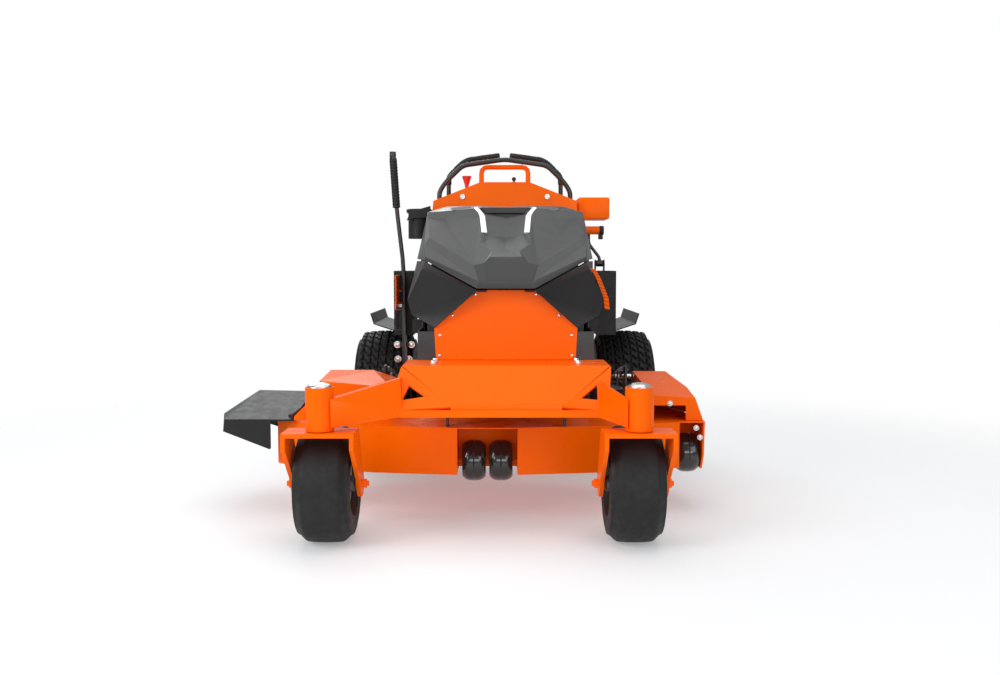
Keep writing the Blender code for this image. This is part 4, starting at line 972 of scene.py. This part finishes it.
def hand_switches():
    """The pull knob as a flared funnel, and the key with its bow in a barrel."""
    low, high = corners("pto_knob")
    base = np.array([(low[0] + high[0]) / 2, (low[1] + high[1]) / 2, low[2]])
    knob = [(0, 0.0445), (0.011, 0.0455), (0.016, 0.046), (0.0175, 0.044), (0.0172, 0.0415),
        (0.0135, 0.031)]
    knob += [(0.0095, 0.0185), (0.0075, 0.01), (0.0062, 0.0), (0, 0.0)]
    Shape().turn(knob, base, (0, 0, 1), 48).build("pull_knob", "red", "cutter_switch", 40,
        stands_for=("pto_knob",))
    low, high = corners("key_switch")
    base = np.array([(low[0] + high[0]) / 2, (low[1] + high[1]) / 2, low[2]])
    barrel = [(0, 0.0078), (0.006, 0.0078), (0.0072, 0.007), (0.01, 0.0068), (0.011, 0.005),
        (0.011, 0.0), (0, 0.0)]
    shape = Shape().turn(barrel, base, (0, 0, 1), 40)
    angle = around_in(24)
    bow = np.stack([0.008 * np.cos(angle), -0.0014 * np.ones(24), 0.0175 + 0.0078 * np.sin(angle)], -1)
    shape.add(*slab(base + bow, (0, 0.0028, 0)))
    shape.add(*cuboid(base + (-0.003, -0.001, 0.006), base + (0.003, 0.001, 0.013)))
    shape.build("key_and_barrel", "plastic", "key", 40, 0.0004, ("key_switch",))


def brake_handle():
    """Parking brake: a cranked black arm under an orange tube whose end carries a black clamp."""
    arm = smooth_path([at(0.352, 0.95, 0.787), at(0.352, 0.95, 0.808), at(0.311, 0.95, 0.86),
        at(0.311, 0.95, 0.902)], 0.012)
    shape = Shape().tube(arm, 0.0058, 16)
    boss = [(0, 0.0135), (0.01, 0.0135), (0.012, 0.0115), (0.012, -0.0115), (0.01, -0.0135), (0, -0.0135)]
    shape.turn(boss, at(0.352, 0.95, 0.787), (1, 0, 0), 32)
    shape.build("brake_arm", "steel", "brake", 40, stands_for=("parking_brake_lever",))
    tube = [(0.0152, -0.046), (0.0152, 0.046), (0.0116, 0.046), (0.011, 0.02), (0, 0.02), (0, -0.046)]
    place = at(0.32, 0.95, 0.909)
    Shape().turn(tube, place, (1, 0, 0), 40).build("brake_tube", "orange", "brake", 40)
    clamp = [(0.0118, 0.0468), (0.0164, 0.046), (0.0168, 0.036), (0.0164, 0.03), (0.0153, 0.03),
        (0.0118, 0.04)]
    shape = Shape().turn(clamp, place, (1, 0, 0), 40, closed=True)
    shape.add(*cuboid(at(0.347, 0.941, 0.876), at(0.363, 0.956, 0.895)))
    shape.build("brake_clamp", "plastic", "brake", 40, 0.0015)


def cup_holder():
    """A moulded tray with a rolled rim round its cup well: rings turned about the well, on the tray's
    plate."""
    skin("cup_tray", "plastic", "root", 0.0015)
    high = corners("cup_tray")[1]
    well = at(-0.316, 0.952, 0)
    rim = np.array([(0.0386, -0.002), (0.0386, 0.001), (0.04, 0.003), (0.043, 0.0035), (0.0455, 0.002),
        (0.046, -0.001)])
    Shape().turn(rim, (well[0], well[1], high[2] - 0.0002), (0, 0, 1), 64, closed=True).build(
        "cup_rim", "plastic", "root", 40
    )
    lip = [(-0.3597, 0.943), (-0.3475, 0.974), (-0.318, 0.984), (-0.272, 0.997), (-0.272, 0.954),
        (-0.335, 0.95)]
    shape = Shape().add(*slab([at(x, 0.899, z) for x, z in lip], (0, 0.007, 0)))
    shape.build("cup_shield", "plastic", "root", 30, 0.002)


def side_links():
    """Small linkage parts beside the lift lever and by the left wheel: rods, collars, clevises and a
    boxed guide."""
    orange, black, bright = Shape(), Shape(), Shape()
    y = 0.817
    for low, high in (
        ((-0.392, 0.648), (-0.388, 0.69)), ((-0.367, 0.648), (-0.363, 0.69)),
        ((-0.392, 0.686), (-0.363, 0.69)),
        ((-0.392, 0.644), (-0.363, 0.648)),
    ):
        orange.add(*cuboid(at(low[0], y - 0.012, low[1]), at(high[0], y, high[1])))
    for step in range(6):
        z = 0.694 + 0.0085 * step
        black.add(*cuboid(at(-0.372, y - 0.008, z), at(-0.362, y, z + 0.004)))
    orange.add(*slab([at(-0.3835, y, 0.745), at(-0.3935, y, 0.69), at(-0.3865, y, 0.69),
        at(-0.3785, y, 0.745)], (0, -0.004, 0)))
    for x in (-0.391, -0.366):
        black.tube(np.linspace(at(x, y - 0.004, 0.622), at(x, y - 0.004, 0.548), 4), 0.0022, 10)
    black.add(*cuboid(at(-0.392, y - 0.006, 0.546), at(-0.365, y, 0.55)))
    black.add(*cuboid(at(-0.394, y - 0.01, 0.618), at(-0.362, y, 0.624)))
    collar = [(0, 0.016), (0.008, 0.016), (0.009, 0.014), (0.009, -0.014), (0.008, -0.016), (0, -0.016)]
    bright.turn(collar, at(-0.378, y - 0.01, 0.634), (1, 0, 0), 28)
    for x, z in ((-0.3878, 0.495), (-0.3374, 0.495), (-0.386, 0.4424), (-0.3464, 0.4424)):
        bolt(bright, at(x, y - 0.002, z), (0, -1, 0), 0.0085)
    black.add(*cuboid(at(-0.38, y - 0.004, 0.486), at(-0.345, y + 0.001, 0.504)))
    bright.tube(np.linspace(at(-0.44, 0.655, 0.3985), at(-0.394, 0.655, 0.3985), 4), 0.0055, 16)
    for x in (-0.44, -0.394):
        bright.add(*cuboid(at(x - 0.004, 0.647, 0.372), at(x + 0.004, 0.663, 0.41)))
    for x in (0.39, 0.442):
        black.add(*cuboid(at(x - 0.003, 0.67, 0.366), at(x + 0.003, 0.69, 0.412)))
    bright.tube(np.linspace(at(0.384, 0.68, 0.396), at(0.448, 0.68, 0.396), 4), 0.007, 16)
    orange.build("guide_box", "orange", "root", 30, 0.0006)
    black.build("link_rods", "steel", "root", 30, 0.0005)
    bright.build("link_pins", "zinc", "root", 30)


# Platform, pad and motors


def ribbed_mat():
    """The foot mat: height = plate + rib height wherever a wave across its width is high, tapering at
    its rim."""
    low, high = corners("platform_mat")
    x = np.linspace(low[0], high[0], 217)
    y = np.linspace(low[1], high[1], 41)
    gx, gy = np.meshgrid(x, y, indexing="xy")
    edge = np.minimum(np.minimum(gx - low[0], high[0] - gx), np.minimum(gy - low[1], high[1] - gy))
    wave = smoothstep(0.0, 0.5, np.cos((gx - low[0]) / 0.0135 * 2 * math.pi)) * smoothstep(0.006, 0.014, edge)
    top = high[2] - 0.004 + 0.004 * wave - 0.003 * smoothstep(0.004, 0.0, edge)
    surface = np.stack([gx, gy, top], -1)
    shape = Shape().grid(surface)
    floor = surface.copy()
    floor[..., 2] = low[2]
    shape.grid(floor[:, ::-1])
    for strip in (surface[0], surface[-1][::-1], surface[::-1, 0], surface[:, -1]):
        foot = strip.copy()
        foot[:, 2] = low[2]
        shape.grid(np.stack([strip, foot]))
    shape.build("ribbed_mat", "rubber", "platform", 35, stands_for=("platform_mat",))


def stuffed_pad(swell):
    """The operator's hip pad: a stuffed cloth cover, blown up by a short simulation and capped.

    Returns the path of the piping along its seam.
    """
    low, high = corners("hip_pad")
    shrink = np.array([0.008, 0.01, 0.008])
    start, end = low + shrink, high - shrink
    start[1] = low[1] + 0.001
    mesh = bpy.data.meshes.new("hip_cushion")
    points, faces = cuboid(start, end)
    mesh.from_pydata([tuple(p) for p in points], [], faces)
    piece = bpy.data.objects.new("hip_cushion", mesh)
    bpy.context.scene.collection.objects.link(piece)
    bevel = piece.modifiers.new("round", "BEVEL")
    bevel.width, bevel.segments = 0.016, 4
    remesh = piece.modifiers.new("even", "REMESH")
    remesh.mode, remesh.voxel_size = "VOXEL", PAD_VOXEL
    bake_mesh(piece)
    rest = points_of(piece)
    cloth = piece.modifiers.new("stuffing", "CLOTH")
    cloth.settings.use_pressure = True
    cloth.settings.uniform_pressure_force = 4
    cloth.settings.effector_weights.gravity = 0
    for step in range(1, CLOTH_FRAMES + 1):
        bpy.context.scene.frame_set(step)
    bake_mesh(piece)
    bpy.context.scene.frame_set(1)
    moved = points_of(piece) - rest
    reach = np.linalg.norm(moved, axis=1)[:, None]
    moved *= np.minimum(1, swell / np.maximum(reach, 1e-9))
    places = rest + moved
    middle_x = (low[0] + high[0]) / 2
    across = (places[:, 0] - middle_x) / ((high[0] - low[0]) / 2)
    face = smoothstep(low[1] + 0.02, high[1] - 0.012, places[:, 1])
    channel = sum(np.exp(-(((places[:, 0] - middle_x - offset) / 0.007) ** 2)) for offset in (-0.066, 0.066))
    places[:, 1] -= 0.009 * channel * face
    crown = (1 - np.clip(np.abs(across), 0, 1) ** 2.5) * (1
        - np.abs((places[:, 2] - (low[2] + high[2]) / 2) / 0.11) ** 2.5)
    places[:, 1] += 0.007 * np.clip(crown, 0, 1) * face
    places = np.clip(places, low + 0.0006, high + (0, 0.004, 0))
    piece.data.vertices.foreach_set("co", places.astype(np.float32).ravel())
    piece.data.update()
    smooth = piece.modifiers.new("fine", "SUBSURF")
    smooth.levels = smooth.render_levels = 1
    bpy.context.scene.collection.objects.unlink(piece)
    settle(piece, "vinyl", "root", 180, stands_for=("hip_pad",))
    seam_y = low[1] + 0.017
    ring = [(start[0] + 0.002, start[2] + 0.002), (end[0] - 0.002, start[2] + 0.002),
        (end[0] - 0.002, end[2] - 0.002), (start[0] + 0.002, end[2] - 0.002)]
    loop = np.array([(x, seam_y, z) for x, z in (*ring, ring[0], ring[1])])
    path = smooth_path(loop, 0.02, 6)[1:]
    return path[: int(len(path) * 0.84)]


def points_of(piece):
    places = np.empty(len(piece.data.vertices) * 3, np.float32)
    piece.data.vertices.foreach_get("co", places)
    return places.reshape(-1, 3).astype(float)


def bake_mesh(piece):
    """Turns the evaluated mesh into the piece's own, so that no modifier is left on it."""
    graph = bpy.context.evaluated_depsgraph_get()
    mesh = bpy.data.meshes.new_from_object(piece.evaluated_get(graph))
    piece.modifiers.clear()
    piece.data = mesh


def motors():
    """Finned blade motor cans and the two wheel gear motors, turned and bolted."""
    for side in ("left", "centre", "right"):
        low, high = corners("blade_motor_" + side)
        base = np.array([(low[0] + high[0]) / 2, (low[1] + high[1]) / 2, high[2] - 0.092])
        heights = np.linspace(0.08, 0.02, 61)
        fins = np.stack([0.0595 - 0.004 * (np.cos((heights - 0.02) / 0.01 * 2 * math.pi) > 0), heights], -1)
        profile = [(0, 0.092), (0.026, 0.092), (0.03, 0.089), (0.052, 0.087), (0.0585, 0.082), *fins,
            (0.06, 0.0125)]
        profile += [(0.073, 0.0125), (0.074, 0.011), (0.074, 0.0005), (0.027, 0.0005), (0.024, -0.085),
            (0, -0.085)]
        shape = Shape().turn(profile, base, (0, 0, 1), 64)
        shape.build(f"motor_can_{side}", "steel", "deck", 30, stands_for=("blade_motor_" + side,))
    for side, sign in (("left", 1), ("right", -1)):
        low, high = corners("wheel_motor_" + side)
        mid = (low + high) / 2
        inner = min(abs(low[0] - MID_X), abs(high[0] - MID_X))
        face = max(abs(low[0] - MID_X), abs(high[0] - MID_X))
        profile = [(0, face), (0.043, face), (0.045, face - 0.002), (0.05, 0.354), (0.052, 0.351),
            (0.073, 0.35), (0.075, 0.348)]
        profile += [(0.075, 0.3), (0.072, 0.298), (0.072, 0.29), (0.075, 0.288), (0.075, 0.2468),
            (0.045, 0.2463), (0.045, 0.2357)]
        profile += [(0.06, 0.2357), (0.062, 0.234), (0.062, inner + 0.012), (0.056, inner + 0.002),
            (0.05, inner), (0, inner)]
        shape = Shape().turn(profile, (MID_X, mid[1], mid[2]), (sign, 0, 0), 56)
        shape.build(f"gear_motor_{side}", "steel", "root", 30, stands_for=("wheel_motor_" + side,))


# Stage


def node_finishes():
    """Gives every node that still shows its finish by the record's slot."""
    slots = {part["node"]: part["material_slot"] for part in frame["record"]["subparts"]}
    for name, node in frame["nodes"].items():
        node.data.materials.clear()
        node.data.materials.append(PALETTE[NODE_FINISH[slots[name]]])


def floor_material():
    """A white floor that keeps soft shadows and fades out with distance, so that it has no edge."""
    made = bpy.data.materials.new("studio_floor")
    made.use_nodes = True
    nodes, links = made.node_tree.nodes, made.node_tree.links
    nodes.clear()
    out = nodes.new("ShaderNodeOutputMaterial")
    matt = nodes.new("ShaderNodeBsdfDiffuse")
    matt.inputs["Color"].default_value = (0.7, 0.71, 0.72, 1)
    glow = nodes.new("ShaderNodeEmission")
    glow.inputs["Strength"].default_value = 0.26
    lift = nodes.new("ShaderNodeAddShader")
    links.new(matt.outputs["BSDF"], lift.inputs[0])
    links.new(glow.outputs["Emission"], lift.inputs[1])
    clear = nodes.new("ShaderNodeBsdfTransparent")
    coords = nodes.new("ShaderNodeTexCoord")
    length = nodes.new("ShaderNodeVectorMath")
    length.operation = "LENGTH"
    fade = nodes.new("ShaderNodeMapRange")
    fade.interpolation_type = "SMOOTHSTEP"
    fade.inputs["From Min"].default_value = 1.3
    fade.inputs["From Max"].default_value = 3.2
    mix = nodes.new("ShaderNodeMixShader")
    links.new(coords.outputs["Object"], length.inputs[0])
    links.new(length.outputs["Value"], fade.inputs["Value"])
    links.new(fade.outputs["Result"], mix.inputs["Fac"])
    links.new(lift.outputs["Shader"], mix.inputs[1])
    links.new(clear.outputs["BSDF"], mix.inputs[2])
    links.new(mix.outputs["Shader"], out.inputs["Surface"])
    return made


def studio(settings):
    """Floor disc, camera, white surroundings and soft lamps."""
    angle = around_in(96)
    rim = np.stack([settings.floor * np.cos(angle), settings.floor * np.sin(angle), np.full(96, -0.0005)], -1)
    mesh = bpy.data.meshes.new("studio_floor")
    mesh.from_pydata(rim.tolist(), [], [list(range(96))])
    mesh.materials.append(floor_material())
    floor = bpy.data.objects.new("studio_floor", mesh)
    bpy.context.scene.collection.objects.link(floor)
    camera = bpy.data.cameras.new("camera")
    camera.lens = settings.lens
    camera.sensor_width = 36
    eye = bpy.data.objects.new("camera", camera)
    eye.location = at(*CAMERA_PLACE)
    eye.rotation_euler = (math.pi / 2 - settings.pitch, 0, 0)
    bpy.context.scene.collection.objects.link(eye)
    bpy.context.scene.camera = eye
    world = bpy.data.worlds.new("studio")
    world.use_nodes = True
    nodes, links = world.node_tree.nodes, world.node_tree.links
    nodes.clear()
    out = nodes.new("ShaderNodeOutputWorld")
    white, soft, mix = (nodes.new(kind)
        for kind in ("ShaderNodeBackground", "ShaderNodeBackground", "ShaderNodeMixShader"))
    white.inputs["Color"].default_value = (1, 1, 1, 1)
    white.inputs["Strength"].default_value = 1.0
    soft.inputs["Color"].default_value = (0.96, 0.98, 1, 1)
    soft.inputs["Strength"].default_value = 0.42
    rays = nodes.new("ShaderNodeLightPath")
    seen = nodes.new("ShaderNodeMath")
    seen.operation = "MAXIMUM"
    links.new(rays.outputs["Is Camera Ray"], seen.inputs[0])
    links.new(rays.outputs["Is Transmission Ray"], seen.inputs[1])
    links.new(seen.outputs["Value"], mix.inputs["Fac"])
    links.new(soft.outputs["Background"], mix.inputs[1])
    links.new(white.outputs["Background"], mix.inputs[2])
    links.new(mix.outputs["Shader"], out.inputs["Surface"])
    bpy.context.scene.world = world
    lamps = (
        ("overhead", (0.0, 0.4, 3.6), (0, 0.4, 0), (4.2, 3.6), 58),
        ("front_left", (2.6, -3.2, 2.0), (0.1, 0.2, 0.5), (2.4, 2.4), 36),
        ("front_right", (-3.2, -2.4, 2.2), (-0.1, 0.2, 0.5), (2.4, 2.4), 92),
        ("front_low", (0.3, -4.2, 0.9), (0.0, 0.2, 0.35), (3.4, 1.0), 34),
        ("back_rim", (-1.2, 4.2, 2.8), (0, 0.6, 0.6), (3.0, 1.6), 60),
    )
    for name, place, target, size, power in lamps:
        lamp = bpy.data.lights.new(name, "AREA")
        lamp.shape = "RECTANGLE"
        lamp.size, lamp.size_y = size
        lamp.energy = power
        stand = bpy.data.objects.new(name, lamp)
        start, end = at(*place), at(*target)
        stand.location = start
        side, up, along = axes_of(start - end)
        stand.matrix_world = matrix_from(side, up, along, start)
        bpy.context.scene.collection.objects.link(stand)
    view = bpy.context.scene.view_settings
    view.view_transform = "Standard"


def matrix_from(side, up, along, place):
    return Matrix([[side[i], up[i], along[i], place[i]] for i in range(3)] + [[0, 0, 0, 1]])


# Operators


class MOWER_OT_finishes(bpy.types.Operator):
    """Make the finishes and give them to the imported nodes"""

    bl_idname = "mower.finishes"
    bl_label = "Finishes"

    def execute(self, context):
        PALETTE.fill(context.scene.mower_colours)
        node_finishes()
        return {"FINISHED"}


class MOWER_OT_wheels(bpy.types.Operator):
    """Build the turf tyres, front tyres, rims, hubs and deck rollers"""

    bl_idname = "mower.wheels"
    bl_label = "Wheels"

    def execute(self, context):
        drive_tyres(context.scene.mower_sizes)
        caster_tyres()
        drive_rims()
        deck_rollers()
        return {"FINISHED"}


class MOWER_OT_hood(bpy.types.Operator):
    """Build the hood lid with its lamps and trim, and dress the cheeks"""

    bl_idname = "mower.hood"
    bl_label = "Hood"

    def execute(self, context):
        hood_shell()
        hood_lamps()
        hood_trim()
        hood_cheeks()
        return {"FINISHED"}


class MOWER_OT_sheet_metal(bpy.types.Operator):
    """Round the edges of the frame, deck, console and covers, and add the housings"""

    bl_idname = "mower.sheet_metal"
    bl_label = "Sheet metal"

    def execute(self, context):
        sheet_metal(context.scene.mower_sizes.edge)
        housings()
        return {"FINISHED"}


class MOWER_OT_fasteners(bpy.types.Operator):
    """Place the visible bolts and screws"""

    bl_idname = "mower.fasteners"
    bl_label = "Fasteners"

    def execute(self, context):
        fasteners(context.scene.mower_sizes.bolt)
        return {"FINISHED"}


class MOWER_OT_controls(bpy.types.Operator):
    """Build the bars, levers, grips, switches and cup holder"""

    bl_idname = "mower.controls"
    bl_label = "Controls"

    def execute(self, context):
        reference_tube()
        steering_levers().build("lever_boots", "plastic", "root")
        lift_handle()
        hand_switches()
        brake_handle()
        cup_holder()
        side_links()
        return {"FINISHED"}


class MOWER_OT_station(bpy.types.Operator):
    """Build the foot mat, the stuffed hip pad and the motors"""

    bl_idname = "mower.station"
    bl_label = "Operator station"

    def execute(self, context):
        ribbed_mat()
        motors()
        piping = stuffed_pad(context.scene.mower_sizes.pad_swell)
        Shape().tube(piping, PIPING_RADIUS, 10).build("pad_piping", "vinyl", "root", 60)
        return {"FINISHED"}


class MOWER_OT_stage(bpy.types.Operator):
    """Set up the floor, the camera, the surroundings and the lamps"""

    bl_idname = "mower.stage"
    bl_label = "Stage"

    def execute(self, context):
        studio(context.scene.mower_stage)
        return {"FINISHED"}


OPERATORS = (
    MOWER_OT_finishes, MOWER_OT_stage, MOWER_OT_sheet_metal, MOWER_OT_hood, MOWER_OT_wheels,
    MOWER_OT_controls,
    MOWER_OT_fasteners, MOWER_OT_station,
)


class MOWER_PT_panel(bpy.types.Panel):
    """Lists the mower's steps and settings"""

    bl_label = "Mower"
    bl_idname = "MOWER_PT_panel"
    bl_space_type = "VIEW_3D"
    bl_region_type = "UI"
    bl_category = "Mower"

    def draw(self, context):
        for group in (context.scene.mower_colours, context.scene.mower_sizes, context.scene.mower_stage):
            for name in group.__annotations__:
                self.layout.prop(group, name)
        for operator in OPERATORS:
            self.layout.operator(operator.bl_idname)


CLASSES = (MowerColours, MowerSizes, StageSettings, *OPERATORS, MOWER_PT_panel)


def register():
    for made in CLASSES:
        bpy.utils.register_class(made)
    bpy.types.Scene.mower_colours = bpy.props.PointerProperty(type=MowerColours)
    bpy.types.Scene.mower_sizes = bpy.props.PointerProperty(type=MowerSizes)
    bpy.types.Scene.mower_stage = bpy.props.PointerProperty(type=StageSettings)


def unregister():
    del bpy.types.Scene.mower_colours, bpy.types.Scene.mower_sizes, bpy.types.Scene.mower_stage
    for made in reversed(CLASSES):
        bpy.utils.unregister_class(made)


def main():
    register()
    for operator in OPERATORS:
        group, name = operator.bl_idname.split(".")
        getattr(getattr(bpy.ops, group), name)()


if __name__ == "__main__":
    main()
